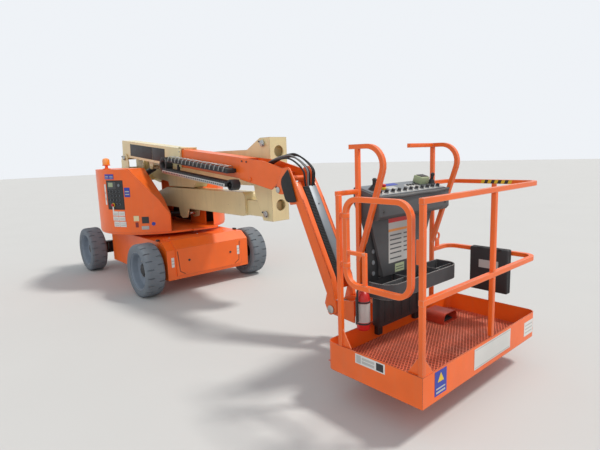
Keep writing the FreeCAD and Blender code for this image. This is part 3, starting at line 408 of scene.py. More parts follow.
class Form:
    """A piece under construction, in metres in the part's frame."""

    def __init__(self, name: str, body: str, paint: Paint) -> None:
        """Start an empty mesh that rides on a body."""
        self.name = name
        self.body = body
        self.paints = [paint]
        self.mesh = bmesh.new()

    def paint(self, paint: Paint) -> int:
        """Return the slot of another finish on the same piece."""
        if paint not in self.paints:
            self.paints.append(paint)
        return self.paints.index(paint)

    def _finish(self, verts: Sequence[bmesh.types.BMVert], paint: Optional[Paint], bevel: float,
                segments: int = 2) -> None:
        """Give new vertices' faces a finish and soften their edges."""
        chosen = set(verts)
        faces = [face for face in {face for vert in verts for face in vert.link_faces}
                 if all(vert in chosen for vert in face.verts)]
        slot = self.paint(paint) if paint else 0
        for face in faces:
            face.material_index = slot
        if bevel > 0:
            edges = [edge for edge in {edge for face in faces for edge in face.edges}
                     if edge.calc_face_angle(0.0) > 0.5]
            bmesh.ops.bevel(self.mesh, geom=edges, offset=bevel, offset_type="OFFSET", segments=segments,
                            profile=0.5, affect="EDGES", material=-1, clamp_overlap=True)

    def block(self, low: Point, high: Point, turn: Optional[Matrix] = None, bevel: float = 0.0,
              paint: Optional[Paint] = None, segments: int = 2) -> None:
        """Add a block between two corners, then place it by a matrix."""
        low, high = Vector(low), Vector(high)
        made = bmesh.ops.create_cube(self.mesh, size=1.0)["verts"]
        size = Matrix.Diagonal((*(high - low), 1.0))
        move = Matrix.Translation((low + high) / 2)
        bmesh.ops.transform(self.mesh, matrix=(turn or Matrix()) @ move @ size, verts=made)
        self._finish(made, paint, bevel, segments)

    def bar(self, start: Point, end: Point, radius: float, tip: Optional[float] = None, sides: int = 20,
            bevel: float = 0.0, paint: Optional[Paint] = None) -> None:
        """Add a round bar or cone between two points."""
        start, end = Vector(start), Vector(end)
        way = end - start
        made = bmesh.ops.create_cone(self.mesh, cap_ends=True, segments=sides, radius1=radius,
                                     radius2=radius if tip is None else tip, depth=way.length)["verts"]
        turn = way.to_track_quat("Z", "Y").to_matrix().to_4x4()
        bmesh.ops.transform(self.mesh, matrix=Matrix.Translation((start + end) / 2) @ turn, verts=made)
        self._finish(made, paint, bevel)

    def ball(self, centre: Point, radius: float, stretch: Point = (1, 1, 1), paint: Optional[Paint] = None) -> None:
        """Add a round knob."""
        made = bmesh.ops.create_uvsphere(self.mesh, u_segments=16, v_segments=10, radius=radius)["verts"]
        bmesh.ops.transform(self.mesh, matrix=Matrix.Translation(Vector(centre)) @ Matrix.Diagonal((*stretch, 1.0)),
                            verts=made)
        self._finish(made, paint, 0.0)

    def sheet(self, corners: Sequence[Point], thick: Point, bevel: float = 0.0, paint: Optional[Paint] = None,
              rounds: Optional[Dict[int, float]] = None) -> None:
        """Add a flat plate: its outline, pushed along a vector.

        Args:
            corners: the outline's corners in order.
            thick: way and depth of the push.
            bevel: size of the softened edges.
            paint: the plate's finish, if not the piece's first one.
            rounds: how far each rounded corner is cut back, by its number.
        """
        before = set(self.mesh.verts)
        verts = [self.mesh.verts.new(Vector(corner)) for corner in corners]
        face = self.mesh.faces.new(verts)
        pushed = bmesh.ops.extrude_face_region(self.mesh, geom=[face])["geom"]
        moved = {item for item in pushed if isinstance(item, bmesh.types.BMVert)}
        bmesh.ops.translate(self.mesh, vec=Vector(thick), verts=list(moved))
        for index, radius in (rounds or {}).items():
            upright = [edge for edge in verts[index].link_edges if edge.other_vert(verts[index]) in moved]
            bmesh.ops.bevel(self.mesh, geom=upright, offset=radius, offset_type="OFFSET", segments=6, profile=0.5,
                            affect="EDGES", material=-1, clamp_overlap=True)
        whole = [vert for vert in self.mesh.verts if vert not in before]
        faces = list({face for vert in whole for face in vert.link_faces})
        bmesh.ops.recalc_face_normals(self.mesh, faces=faces)
        self._finish(whole, paint, bevel)

    def label(self, corner: Point, across: Point, up: Point, paint: Paint,
              marks: Sequence[Tuple[float, float, float, float, Paint]] = ()) -> None:
        """Add a thin blank plate with plain bands on it.

        Args:
            corner: its lower left corner, seen from the side that it faces.
            across: its lower edge.
            up: its left edge.
            paint: its finish.
            marks: bands as shares of the plate: left, low, right, high and finish.
        """
        corner, across, up = Vector(corner), Vector(across), Vector(up)
        out = across.cross(up).normalized() * LABEL_T
        self.sheet([corner, corner + across, corner + across + up, corner + up], out, paint=paint)
        for left, low, right, high, mark in marks:
            start = corner + out + across * left + up * low
            wide, tall = across * (right - left), up * (high - low)
            self.sheet([start, start + wide, start + wide + tall, start + tall], out * 0.4, paint=mark)

    def sweep(self, route: Sequence[Point], half: float, bend: float = 0.0, up: Point = (0, 0, 1), sides: int = 4,
              paint: Optional[Paint] = None, closed: bool = False) -> None:
        """Push a square or round section along straight runs joined by arcs.

        Args:
            route: the corners of the middle line.
            half: half the width of a square section, or the radius of a round one.
            bend: radius of the arcs.
            up: a way that the section's side stays square to.
            sides: 4 for a square section, more for a round one.
            paint: the tube's finish, if not the piece's first one.
            closed: the route ends where it starts, so its ends are joined.
        """
        before = set(self.mesh.verts)
        spots = [Vector(item) for item in route]
        way = (spots[1] - spots[0]).normalized()
        side = Vector(up).cross(way).normalized()
        turn = Matrix((side, way.cross(side), way)).transposed().to_4x4()
        radius = half * math.sqrt(2) if sides == 4 else half
        ring = bmesh.ops.create_circle(self.mesh, segments=sides, radius=radius, cap_ends=False)["verts"]
        place = Matrix.Translation(spots[0]) @ turn @ Matrix.Rotation(math.pi / sides, 4, "Z")
        bmesh.ops.transform(self.mesh, matrix=place, verts=ring)
        first = list({edge for vert in ring for edge in vert.link_edges})
        edges, here = first, spots[0]
        for back_spot, corner, next_spot in zip(spots, spots[1:], spots[2:]):
            inward, outward = (corner - back_spot).normalized(), (next_spot - corner).normalized()
            angle = inward.angle(outward)
            back = bend * math.tan(angle / 2)
            edges = self._push(edges, corner - inward * back - here)
            middle = corner + (outward - inward).normalized() * math.hypot(bend, back)
            ends = list({vert for edge in edges for vert in edge.verts})
            spun = bmesh.ops.spin(self.mesh, geom=ends + edges, cent=middle, axis=inward.cross(outward).normalized(),
                                  angle=angle, steps=max(2, round(math.degrees(angle) / 12)), use_merge=False,
                                  use_normal_flip=False, use_duplicate=False, dvec=(0, 0, 0))["geom_last"]
            edges = [item for item in spun if isinstance(item, bmesh.types.BMEdge)]
            here = corner + outward * back
        edges = self._push(edges, spots[-1] - here)
        if closed:
            made = [vert for vert in self.mesh.verts if vert not in before]
            bmesh.ops.remove_doubles(self.mesh, verts=made, dist=1e-5)
        else:
            bmesh.ops.contextual_create(self.mesh, geom=first)
            bmesh.ops.contextual_create(self.mesh, geom=edges)
        whole = [vert for vert in self.mesh.verts if vert not in before]
        bmesh.ops.recalc_face_normals(self.mesh, faces=list({face for vert in whole for face in vert.link_faces}))
        self._finish(whole, paint, 0.0)

    def _push(self, edges: Sequence[bmesh.types.BMEdge], move: Vector) -> List[bmesh.types.BMEdge]:
        """Draw a ring of edges out along a straight run and return its far end."""
        if move.length < 1e-7:
            return list(edges)
        made = bmesh.ops.extrude_edge_only(self.mesh, edges=list(edges))["geom"]
        ends = {item for item in made if isinstance(item, bmesh.types.BMVert)}
        bmesh.ops.translate(self.mesh, vec=move, verts=list(ends))
        return [item for item in made if isinstance(item, bmesh.types.BMEdge) and set(item.verts) <= ends]

    def lathe(self, profile: Sequence[Tuple[float, float]], place: Matrix, steps: int = 48,
              paint: Optional[Paint] = None) -> List[bmesh.types.BMVert]:
        """Spin a profile of (radius, height) about the Z axis, then place it by a matrix."""
        verts = [self.mesh.verts.new((radius, 0.0, height)) for radius, height in profile]
        edges = [self.mesh.edges.new(pair) for pair in zip(verts, verts[1:])]
        before = set(self.mesh.verts) - set(verts)
        bmesh.ops.spin(self.mesh, geom=verts + edges, cent=(0, 0, 0), axis=(0, 0, 1), angle=2 * math.pi,
                       steps=steps, use_merge=True, use_normal_flip=False, use_duplicate=False, dvec=(0, 0, 0))
        made = [vert for vert in self.mesh.verts if vert not in before]
        bmesh.ops.remove_doubles(self.mesh, verts=made, dist=1e-6)
        made = [vert for vert in self.mesh.verts if vert not in before]
        faces = list({face for vert in made for face in vert.link_faces})
        bmesh.ops.recalc_face_normals(self.mesh, faces=faces)
        bmesh.ops.transform(self.mesh, matrix=place, verts=made)
        slot = self.paint(paint) if paint else 0
        for face in faces:
            face.material_index = slot
        return made

    def done(self, smooth: float = 35.0, replaces: Sequence[str] = ()) -> bpy.types.Object:
        """Close the piece.

        Args:
            smooth: edges flatter than this angle, in degrees, are shaded smooth.
            replaces: CAD nodes that the piece stands for.

        Returns:
            The finished object.
        """
        data = bpy.data.meshes.new(self.name)
        limit = math.radians(smooth)
        for face in self.mesh.faces:
            face.smooth = True
        for edge in self.mesh.edges:
            edge.smooth = edge.calc_face_angle(0.0) < limit
        self.mesh.to_mesh(data)
        self.mesh.free()
        piece = bpy.data.objects.new(self.name, data)
        bpy.context.scene.collection.objects.link(piece)
        for paint in self.paints:
            data.materials.append(material(paint))
        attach(piece, self.body)
        if replaces:
            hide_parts(*replaces)
        log.info("%s on %s: %d faces", self.name, self.body, len(data.polygons))
        return piece


# Which finish each part of the frame gets, by the start of its name.
NODE_PAINTS: Tuple[Tuple[str, Paint], ...] = (
    ("tyre_", Paint.TYRE),
    ("rim_", Paint.RIM),
    ("lower_tower", Paint.CREAM),
    ("upper_tower", Paint.CREAM),
    ("front_upright", Paint.CREAM),
    ("rear_upright", Paint.CREAM),
    ("main_boom", Paint.CREAM),
    ("battery_", Paint.BLACK_STEEL),
    ("slew_ring", Paint.BLACK_STEEL),
    ("drive_axle", Paint.BLACK_STEEL),
    ("steer_axle", Paint.BLACK_STEEL),
    ("knuckle_", Paint.BLACK_STEEL),
    ("counterweight", Paint.BLACK_STEEL),
    ("level_link", Paint.BLACK_STEEL),
    ("tower_ram_barrel", Paint.BLACK_STEEL),
    ("boom_ram_barrel", Paint.BLACK_STEEL),
    ("jib_ram_barrel", Paint.BLACK_STEEL),
    ("tower_ram_rod", Paint.ROD),
    ("boom_ram_rod", Paint.ROD),
    ("jib_ram_rod", Paint.ROD),
    ("ground_panel", Paint.BLACK_PLASTIC),
    ("chain_", Paint.BLACK_PLASTIC),
    ("nose_guard", Paint.RUBBER),
    ("valve_box", Paint.BLACK_PLASTIC),
    ("console", Paint.GREY_PLASTIC),
    ("pedestal", Paint.GREY_PLASTIC),
    ("tool_tray", Paint.GREY_PLASTIC),
    ("manual_box", Paint.BLACK_PLASTIC),
    ("jib_cover", Paint.GREY_STEEL),
    ("boom_rest", Paint.GREY_PLASTIC),
    ("beacon", Paint.AMBER),
    ("foot_pedal", Paint.RED),
    ("extinguisher", Paint.RED),
    ("", Paint.ORANGE),
)


def dress_frame() -> None:
    """Give every part of the frame its finish."""
    for name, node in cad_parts.items():
        paint = next(paint for start, paint in NODE_PAINTS if name.startswith(start))
        if not node.material_slots:
            node.data.materials.append(material(paint))
        for slot in node.material_slots:
            slot.material = material(paint)


@dataclass
class Wheel:
    """A wheel: a solid tyre with short grooves on a deep steel rim."""

    place: str
    steps: int = 160
    groove_every: int = 8
    groove_deep: float = 0.011
    tread: Tuple[Tuple[float, float], ...] = (
        (0.236, 0.104), (0.250, 0.111), (0.275, 0.1145), (0.298, 0.1135), (0.314, 0.106), (0.3235, 0.092),
        (0.3272, 0.074), (0.3275, 0.030), (0.3275, 0.0),
    )
    dish: Tuple[Tuple[float, float], ...] = (
        (0.0, 0.045), (0.052, 0.045), (0.060, 0.040), (0.062, 0.030), (0.082, 0.030), (0.088, 0.022),
        (0.090, 0.000), (0.118, -0.002), (0.150, -0.004), (0.196, -0.003), (0.214, 0.008), (0.219, 0.030),
        (0.219, 0.070), (0.222, 0.086), (0.229, 0.094), (0.229, 0.104), (0.2345, 0.1075), (0.2375, 0.104),
    )

    def build(self) -> None:
        """Make the tyre and the rim."""
        low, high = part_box("tyre_" + self.place)
        centre = (low + high) / 2
        side = 1.0 if centre.y > 0 else -1.0
        turn = Matrix.Rotation(-side * math.pi / 2, 4, "X")
        spin_axis = Matrix.Translation(centre) @ turn
        self._tyre(spin_axis)
        self._rim(spin_axis)

    def _tyre(self, place: Matrix) -> None:
        """Make the tyre with its shoulder grooves."""
        form = Form("wheel_tyre_" + self.place, "wheel_" + self.place, Paint.TYRE)
        profile = list(self.tread) + [(radius, -across) for radius, across in reversed(self.tread[:-1])]
        profile.append((0.236, -0.060))
        profile.append((0.236, 0.060))
        form.lathe(profile + [profile[0]], Matrix(), self.steps)
        grooves = []
        for face in form.mesh.faces:
            middle = face.calc_center_median()
            radius = math.hypot(middle.x, middle.y)
            step = int((math.atan2(middle.y, middle.x) % (2 * math.pi)) / (2 * math.pi) * self.steps)
            shift = self.groove_every // 2 if middle.z > 0 else 0
            if radius > 0.309 and abs(middle.z) > 0.035 and (step + shift) % self.groove_every == 0:
                grooves.append(face)
        region = bmesh.ops.extrude_face_region(form.mesh, geom=grooves)["geom"]
        sunk = [item for item in region if isinstance(item, bmesh.types.BMVert)]
        for vert in sunk:
            shrink = 1 - self.groove_deep / math.hypot(vert.co.x, vert.co.y)
            vert.co.x *= shrink
            vert.co.y *= shrink
        bmesh.ops.delete(form.mesh, geom=grooves, context="FACES_ONLY")
        bmesh.ops.transform(form.mesh, matrix=place, verts=form.mesh.verts)
        form.done(40.0, ["tyre_" + self.place])

    def _rim(self, place: Matrix) -> None:
        """Make the dished rim, the hub and their bolts."""
        form = Form("wheel_rim_" + self.place, "wheel_" + self.place, Paint.RIM)
        form.lathe(list(self.dish) + [(0.2375, -0.104), (0.225, -0.106), (0.214, -0.060), (0.214, -0.016),
                                      (0.090, -0.016), (0.0, -0.016)], place, 64)
        hub = form.paint(Paint.BLACK_STEEL)
        for face in form.mesh.faces:
            middle = place.inverted() @ face.calc_center_median()
            if math.hypot(middle.x, middle.y) < 0.0885:
                face.material_index = hub
        for ring, count, tall, size in ((0.074, 10, 0.042, 0.0055), (0.130, 8, 0.018, 0.011)):
            for index in range(count):
                angle = 2 * math.pi * index / count
                foot = Vector((ring * math.cos(angle), ring * math.sin(angle), -0.006))
                form.bar(place @ foot, place @ (foot + Vector((0, 0, tall))), size, sides=6,
                         paint=Paint.BLACK_STEEL if ring < 0.1 else Paint.ZINC)
        form.done(35.0, ["rim_" + self.place])


def hose(name: str, points: Sequence[Point], radius: float, paint: Paint) -> bpy.types.Object:
    """Make a smooth hose along a few points, as a mesh that rides on nothing yet."""
    line = bpy.data.curves.new(name + "_line", "CURVE")
    line.dimensions = "3D"
    line.bevel_depth = radius
    line.bevel_resolution = 2
    line.resolution_u = 8
    line.use_fill_caps = True
    spline = line.splines.new("NURBS")
    spline.points.add(len(points) - 1)
    for point, place in zip(spline.points, points):
        point.co = (*place, 1.0)
    spline.order_u = 3
    spline.use_endpoint_u = True
    holder = bpy.data.objects.new(name + "_line", line)
    bpy.context.scene.collection.objects.link(holder)
    made = holder.evaluated_get(bpy.context.evaluated_depsgraph_get())
    data = bpy.data.meshes.new_from_object(made)
    bpy.data.objects.remove(holder)
    data.name = name
    data.materials.clear()
    data.materials.append(material(paint))
    piece = bpy.data.objects.new(name, data)
    bpy.context.scene.collection.objects.link(piece)
    return piece


def retainer(form: Form, centre: Point, out: float, turn: float = 0.0) -> None:
    """Add a pin's head with its keeper plate and two bolts on a side that faces along Y."""
    centre = Vector(centre)
    way = Vector((0, out, 0))
    form.bar(centre - way * 0.004, centre + way * 0.010, 0.036, sides=24, bevel=0.002, paint=Paint.ZINC)
    frame_turn = Matrix.Translation(centre) @ Matrix.Rotation(turn, 4, "Y")
    low, high = sorted((0.010 * out, 0.016 * out))
    form.block((-0.055, low, -0.012), (0.055, high, 0.012), frame_turn, 0.002, Paint.ZINC)
    for along in (-0.042, 0.042):
        start = frame_turn @ Vector((along, 0.016 * out, 0))
        form.bar(start, start + way * 0.008, 0.009, sides=6, bevel=0.001, paint=Paint.BLACK_STEEL)


@dataclass
class Platform:
    """The platform: tray, rails, guards, gate, console and what hangs on them."""

    back: float = 4.240
    front: float = 5.000
    half: float = 0.760
    low: float = 0.212
    floor: float = 0.260
    toe: float = 0.405
    wall: float = 0.006
    tube: float = 0.016
    top: float = 1.390
    mid: float = 0.832
    bend: float = 0.090
    guard_top: float = 1.694
    guard_out: float = 4.525
    guard_foot: float = 0.900
    strand_gap: float = 0.021
    strand_half: float = 0.0025

    def build(self) -> None:
        """Make every piece of the platform."""
        self._tray()
        self._floor()
        self._rails()
        self._gate()
        self._plates()
        self._console()
        self._controls()
        self._pedestal()
        self._tool_tray()
        self._bottle()
        self._switch()
        self._paper_box()

    def _tray(self) -> None:
        """Make the deck with its toe boards and the beams below."""
        form = Form("platform_tray", "platform", Paint.ORANGE)
        corners = [seat(self.back, -self.half, self.low), seat(self.front, -self.half, self.low),
                   seat(self.front, self.half, self.low), seat(self.back, self.half, self.low)]
        form.sheet(corners, (0, 0, self.toe - self.low), rounds={0: 0.06, 2: 0.06, 3: 0.06})
        for way, depth in ((1.0, self.floor - self.toe), (-1.0, 0.040)):
            face = max((face for face in form.mesh.faces if face.normal.z * way > 0.9), key=lambda item: item.calc_area())
            bmesh.ops.inset_region(form.mesh, faces=[face], thickness=self.wall, use_even_offset=True)
            sunk = bmesh.ops.extrude_discrete_faces(form.mesh, faces=[face])["faces"]
            bmesh.ops.translate(form.mesh, vec=(0, 0, depth), verts=list({vert for item in sunk for vert in item.verts}))
        for share in (0.25, 0.5, 0.75):
            x = self.back + share * (self.front - self.back)
            form.block(seat(x - 0.02, -self.half + self.wall, self.low + 0.004),
                       seat(x + 0.02, self.half - self.wall, self.low + 0.041), bevel=0.002)
        form.done(35.0, ["platform_deck"])

    def _floor(self) -> None:
        """Lay crossing strands over the deck, as an expanded mesh, on a thin dark sheet of painted shade that shows
        between the strands.
        """
        form = Form("platform_mesh_floor", "platform", Paint.MESH_RED)
        low_x, high_x = self.back + self.wall, self.front - self.wall
        low_y, high_y = -self.half + self.wall, self.half - self.wall
        # A thin dark sheet under the strands: painted shade seen through the mesh.
        form.block(seat(low_x, low_y + 0.05, self.floor), seat(high_x, high_y - 0.05, self.floor + 0.0008),
                   paint=Paint.PAINTED_SHADE_GAP)
        slope = math.radians(28)
        for sign in (1, -1):
            way = Vector((math.sin(slope) * sign, math.cos(slope), 0))
            count = int((high_x - low_x + (high_y - low_y) * math.tan(slope)) / (self.strand_gap / math.cos(slope))) + 2
            for index in range(count):
                foot_x = low_x - (high_y - low_y) * math.tan(slope) * (sign > 0)
                foot_x += index * self.strand_gap / math.cos(slope)
                first = max(0.0, (low_x - foot_x) / way.x if sign > 0 else (high_x - foot_x) / way.x)
                last = min((high_y - low_y) / way.y, (high_x - foot_x) / way.x if sign > 0 else (low_x - foot_x) / way.x)
                if last - first < 0.03:
                    continue
                foot = seat(foot_x, low_y, self.floor + (0.0032 if sign > 0 else 0.0038))
                form.sweep([foot + way * first, foot + way * last], self.strand_half)
        form.done(30.0)

    def _post(self, form: Form, x: float, side: float, low: float, high: float) -> None:
        """Add an upright of square tube."""
        half = self.tube * 0.96
        form.block(seat(x - half, side - half, low), seat(x + half, side + half, high), bevel=0.003)

    def _rails(self) -> None:
        """Make the rails round three sides, their posts and the two guards beside the console."""
        form = Form("platform_rail_tubes", "platform", Paint.RAIL)
        back_x, front_x = self.back + self.tube, self.front - self.tube
        left, right = self.half - self.tube, -self.half + self.tube
        for level in (self.top, self.mid):
            form.sweep([seat(back_x, 0.500, level), seat(back_x, left, level), seat(front_x, left, level),
                        seat(front_x, right - self.tube, level)], self.tube, self.bend)
        for x, side in ((front_x, right), (front_x, 0.060), (self.back + 0.410, left)):
            self._post(form, x, side, self.toe, self.top - self.tube)
        form.block(seat(self.back, -0.646, self.top - self.tube), seat(back_x + self.tube, -0.446, self.top + self.tube),
                   bevel=0.003)
        for side in (-0.430, 0.484):
            self._post(form, back_x, side, self.toe, self.guard_top)
            form.sweep([seat(back_x, side, self.guard_foot), seat(self.guard_out, side, self.guard_top),
                        seat(self.back - 0.052, side, self.guard_top)], self.tube, 0.130, up=(0, 1, 0))
        form.block(seat(self.back, 0.157, self.guard_top - self.tube), seat(back_x + self.tube, 0.470, self.guard_top + self.tube),
                   bevel=0.003)
        form.block(seat(front_x - 0.040, right - 0.004, 1.040), seat(front_x - self.tube, right + 0.004, 1.180), bevel=0.002)
        foot = self.toe - 0.004
        form.sheet([seat(4.968, right + 0.003, foot), seat(4.888, right + 0.003, foot), seat(4.968, right + 0.003, 0.520)],
                   (0, -0.006, 0))
        form.sheet([seat(self.front - 0.003, right + self.tube, foot), seat(self.front - 0.003, right + 0.095, foot),
                    seat(self.front - 0.003, right + self.tube, 0.500)], (-0.006, 0, 0))
        ring = seat(back_x, 0.565, 0.935)
        form.lathe([(0.0225, -0.006), (0.0345, -0.006), (0.0345, 0.006), (0.0225, 0.006), (0.0225, -0.006)],
                   Matrix.Translation(ring) @ Matrix.Rotation(math.pi / 2, 4, "Y"), 32)
        form.block(ring + Vector((-0.006, -0.025, -0.092)), ring + Vector((0.006, 0.025, -0.030)), bevel=0.002)
        form.done(35.0, ["platform_rails"])

    def _gate(self) -> None:
        """Make the gate with its small frame, and its post."""
        form = Form("platform_gate", "gate", Paint.RAIL)
        side, low, high = -self.half + self.tube, self.mid, self.top - 0.015
        rear, front = self.back + 0.190, self.front - 0.090
        form.sweep([seat(rear, side, 1.1), seat(rear, side, high), seat(front, side, high), seat(front, side, low),
                    seat(rear, side, low), seat(rear, side, 1.1)], self.tube, self.bend, up=(0, 1, 0), closed=True)
        form.block(seat(rear, side - 0.012, low + 0.196), seat(rear + 0.136, side + 0.012, low + 0.220), bevel=0.002)
        form.block(seat(rear + 0.136, side - 0.012, low), seat(rear + 0.160, side + 0.012, low + 0.220), bevel=0.002)
        for level in (self.mid + 0.110, high - 0.120):
            form.bar(seat(rear, side, level), seat(rear, side, level + 0.030), 0.0232, sides=24, bevel=0.001)
        form.done(35.0, ["gate"])
        post = Form("platform_gate_post", "platform", Paint.RAIL)
        post_x = self.back + 0.130
        self._post(post, post_x, side, self.toe, self.top + 0.005)
        for level in (self.mid + 0.110, high - 0.120):
            post.block(seat(post_x + 0.014, side - 0.006, level), seat(rear - 0.0238, side + 0.006, level + 0.030), bevel=0.001)
        post.sheet([seat(post_x + self.tube, side + 0.003, self.toe), seat(post_x + 0.085, side + 0.003, self.toe),
                    seat(post_x + self.tube, side + 0.003, 0.520)], (0, -0.006, 0))
        post.done(35.0, ["gate_post"])

    def _plates(self) -> None:
        """Put the blank plates and the warning plate on the toe boards and the far rail."""
        form = Form("platform_plates", "platform", Paint.WHITE)
        side = -self.half - 0.0002
        form.label(seat(4.503, side, 0.333), (0.235, 0, 0), (0, 0, 0.064), Paint.WHITE,
                   ((0.04, 0.12, 0.20, 0.88, Paint.PALE), (0.24, 0.55, 0.66, 0.80, Paint.PALE),
                    (0.24, 0.20, 0.66, 0.45, Paint.PALE), (0.72, 0.12, 0.95, 0.88, Paint.BLACK_PLASTIC)))
        face = self.front + 0.0002
        form.label(seat(face, -0.640, 0.245), (0, 0.125, 0), (0, 0, 0.150), Paint.BLUE,
                   ((0.12, 0.08, 0.88, 0.16, Paint.PALE), (0.12, 0.24, 0.88, 0.30, Paint.PALE)))
        form.sheet([seat(face + 0.0012, -0.610, 0.325), seat(face + 0.0012, -0.545, 0.325), seat(face + 0.0012, -0.5775, 0.380)],
                   (0.0006, 0, 0), paint=Paint.YELLOW)
        form.label(seat(face, -0.185, 0.247), (0, 0.510, 0), (0, 0, 0.140), Paint.WHITE,
                   ((0.02, 0.05, 0.98, 0.09, Paint.PALE), (0.02, 0.91, 0.98, 0.95, Paint.PALE)))
        form.label(seat(face, 0.555, 0.250), (0, 0.150, 0), (0, 0, 0.108), Paint.WHITE,
                   ((0.10, 0.20, 0.90, 0.28, Paint.PALE), (0.10, 0.45, 0.90, 0.53, Paint.PALE),
                    (0.10, 0.70, 0.90, 0.78, Paint.PALE)))
        inner = self.half - 2 * self.tube - 0.0002
        for index in range(9):
            start = 4.546 + index * 0.027
            form.sheet([seat(start, inner, 1.376), seat(start + 0.027, inner, 1.376), seat(start + 0.037, inner, 1.404),
                        seat(start + 0.010, inner, 1.404)], (0, -LABEL_T, 0),
                       paint=Paint.YELLOW if index % 2 == 0 else Paint.BLACK_PLASTIC)
        form.done()

    def _console(self) -> None:
        """Make the console's housing, which slopes down to the front."""
        form = Form("console_housing", "platform", Paint.GREY_PLASTIC)
        outline = ((4.190, 1.420), (4.420, 1.352), (4.424, 1.215), (4.400, 1.190), (4.240, 1.190), (4.190, 1.300))
        form.sheet([seat(x, -0.408, z) for x, z in outline], (0, 0.870, 0), 0.006, rounds={0: 0.02, 1: 0.02})
        form.sheet([seat(4.2463, side, 1.192) for side in (-0.400, 0.350)] + [seat(4.2463, 0.165, 0.760), seat(4.2463, -0.262, 0.760)],
                   (0.0937, 0, 0), 0.004)
        for side in (-0.260, 0.210):
            form.block(seat(4.2463, side, 0.302), seat(4.286, side + 0.050, 0.900), bevel=0.003, paint=Paint.BLACK_STEEL)
        form.sweep([seat(4.418, -0.404, 1.352), seat(4.432, -0.150, 1.344), seat(4.424, 0.060, 1.346), seat(4.432, 0.250, 1.344),
                    seat(4.418, 0.458, 1.352)], 0.010, 0.120, sides=10)
        for side in (-0.36, -0.12, 0.14, 0.40):
            form.bar(seat(4.423, side, 1.250), seat(4.430, side, 1.250), 0.008, sides=6, paint=Paint.BLACK_STEEL)
        form.done(35.0, ["console"])

    def _controls(self) -> None:
        """Put the decal, knobs, switches, joysticks and the stop button on the console."""
        form = Form("console_controls", "platform", Paint.BLACK_PLASTIC)
        top = Slope(4.190, BOOM_Y, 1.420, math.atan2(0.068, 0.230))
        place = top.matrix()
        form.block((0.020, -0.385, 0.0), (0.222, 0.440, 0.004), place, 0.002, Paint.GREY_STEEL)
        for low, high, left, right, paint in (
                (0.030, 0.065, -0.250, -0.160, Paint.PALE), (0.030, 0.070, -0.140, 0.020, Paint.BLUE),
                (0.085, 0.135, -0.160, -0.060, Paint.PALE), (0.085, 0.150, 0.060, 0.200, Paint.PALE),
                (0.030, 0.070, 0.260, 0.420, Paint.PALE), (0.168, 0.212, -0.375, 0.430, Paint.PALE)):
            form.block((low, left, 0.004), (high, right, 0.0052), place, paint=paint)
        for index in range(11):
            side = -0.340 + index * 0.071
            foot = place @ Vector((0.190, side, 0.004))
            form.bar(foot, place @ Vector((0.190, side, 0.012)), 0.016, sides=20, bevel=0.002, paint=Paint.GREY_STEEL)
            form.bar(foot, place @ Vector((0.190, side, 0.030)), 0.014, 0.012, sides=16, bevel=0.002)
        form.bar(place @ Vector((0.115, -0.220, 0.004)), place @ Vector((0.115, -0.220, 0.022)), 0.024, bevel=0.003,
                 paint=Paint.YELLOW)
        form.bar(place @ Vector((0.115, -0.220, 0.020)), place @ Vector((0.115, -0.220, 0.040)), 0.018, bevel=0.003,
                 paint=Paint.RED)
        for side in (-0.320, 0.400):
            for ring, (radius, up) in enumerate(((0.034, 0.004), (0.028, 0.013), (0.024, 0.022), (0.019, 0.031))):
                form.bar(place @ Vector((0.110, side, up)), place @ Vector((0.110, side, up + 0.008)), radius,
                         radius - 0.003, sides=20)
            form.bar(place @ Vector((0.110, side, 0.036)), place @ Vector((0.104, side, 0.072)), 0.010, 0.014, sides=16,
                     bevel=0.003)
            form.ball(place @ Vector((0.104, side, 0.076)), 0.017, (1, 1, 0.8))
        form.block((0.040, 0.240, 0.004), (0.120, 0.350, 0.062), place, 0.008, Paint.GREEN_PALE)
        form.block((0.052, 0.252, 0.062), (0.108, 0.338, 0.066), place, 0.002)
        for side, low in ((0.085, 0.095), (0.120, 0.095), (0.155, 0.095), (0.190, 0.095)):
            form.block((low, side, 0.005), (low + 0.018, side + 0.016, 0.014), place, 0.002)
        form.done(35.0)

    def _pedestal(self) -> None:
        """Put the notice, its bracket and the valve box on the pedestal."""
        form = Form("pedestal_notice", "platform", Paint.PALE)
        face = 4.3402
        form.label(seat(face, -0.205, 0.850), (0, 0.330, 0), (0, 0, 0.330), Paint.PALE,
                   ((0.0, 0.90, 1.0, 1.0, Paint.RED), (0.0, 0.70, 1.0, 0.755, Paint.AMBER_BAND),
                    (0.05, 0.60, 0.46, 0.63, Paint.GREY_PLASTIC), (0.05, 0.50, 0.46, 0.53, Paint.GREY_PLASTIC),
                    (0.05, 0.40, 0.46, 0.43, Paint.GREY_PLASTIC), (0.05, 0.30, 0.46, 0.33, Paint.GREY_PLASTIC),
                    (0.05, 0.20, 0.46, 0.23, Paint.GREY_PLASTIC), (0.05, 0.08, 0.46, 0.11, Paint.GREY_PLASTIC),
                    (0.54, 0.60, 0.95, 0.63, Paint.GREY_PLASTIC), (0.54, 0.50, 0.95, 0.53, Paint.GREY_PLASTIC),
                    (0.54, 0.40, 0.95, 0.43, Paint.GREY_PLASTIC), (0.54, 0.30, 0.95, 0.33, Paint.GREY_PLASTIC),
                    (0.54, 0.20, 0.95, 0.23, Paint.GREY_PLASTIC)))
        form.label(seat(face, -0.130, 0.772), (0, 0.110, 0), (0, 0, 0.062), Paint.GREEN_PALE,
                   ((0.08, 0.55, 0.92, 0.65, Paint.GREY_PLASTIC), (0.08, 0.25, 0.92, 0.35, Paint.GREY_PLASTIC)))
        form.done()
        form = Form("platform_valve_box", "platform", Paint.BLACK_PLASTIC)
        form.block(seat(4.286, -0.330, 0.400), seat(4.360, 0.170, 0.620), bevel=0.008)
        for index in range(5):
            side = -0.280 + index * 0.100
            form.block(seat(4.359, side, 0.430), seat(4.364, side + 0.060, 0.590), bevel=0.002)
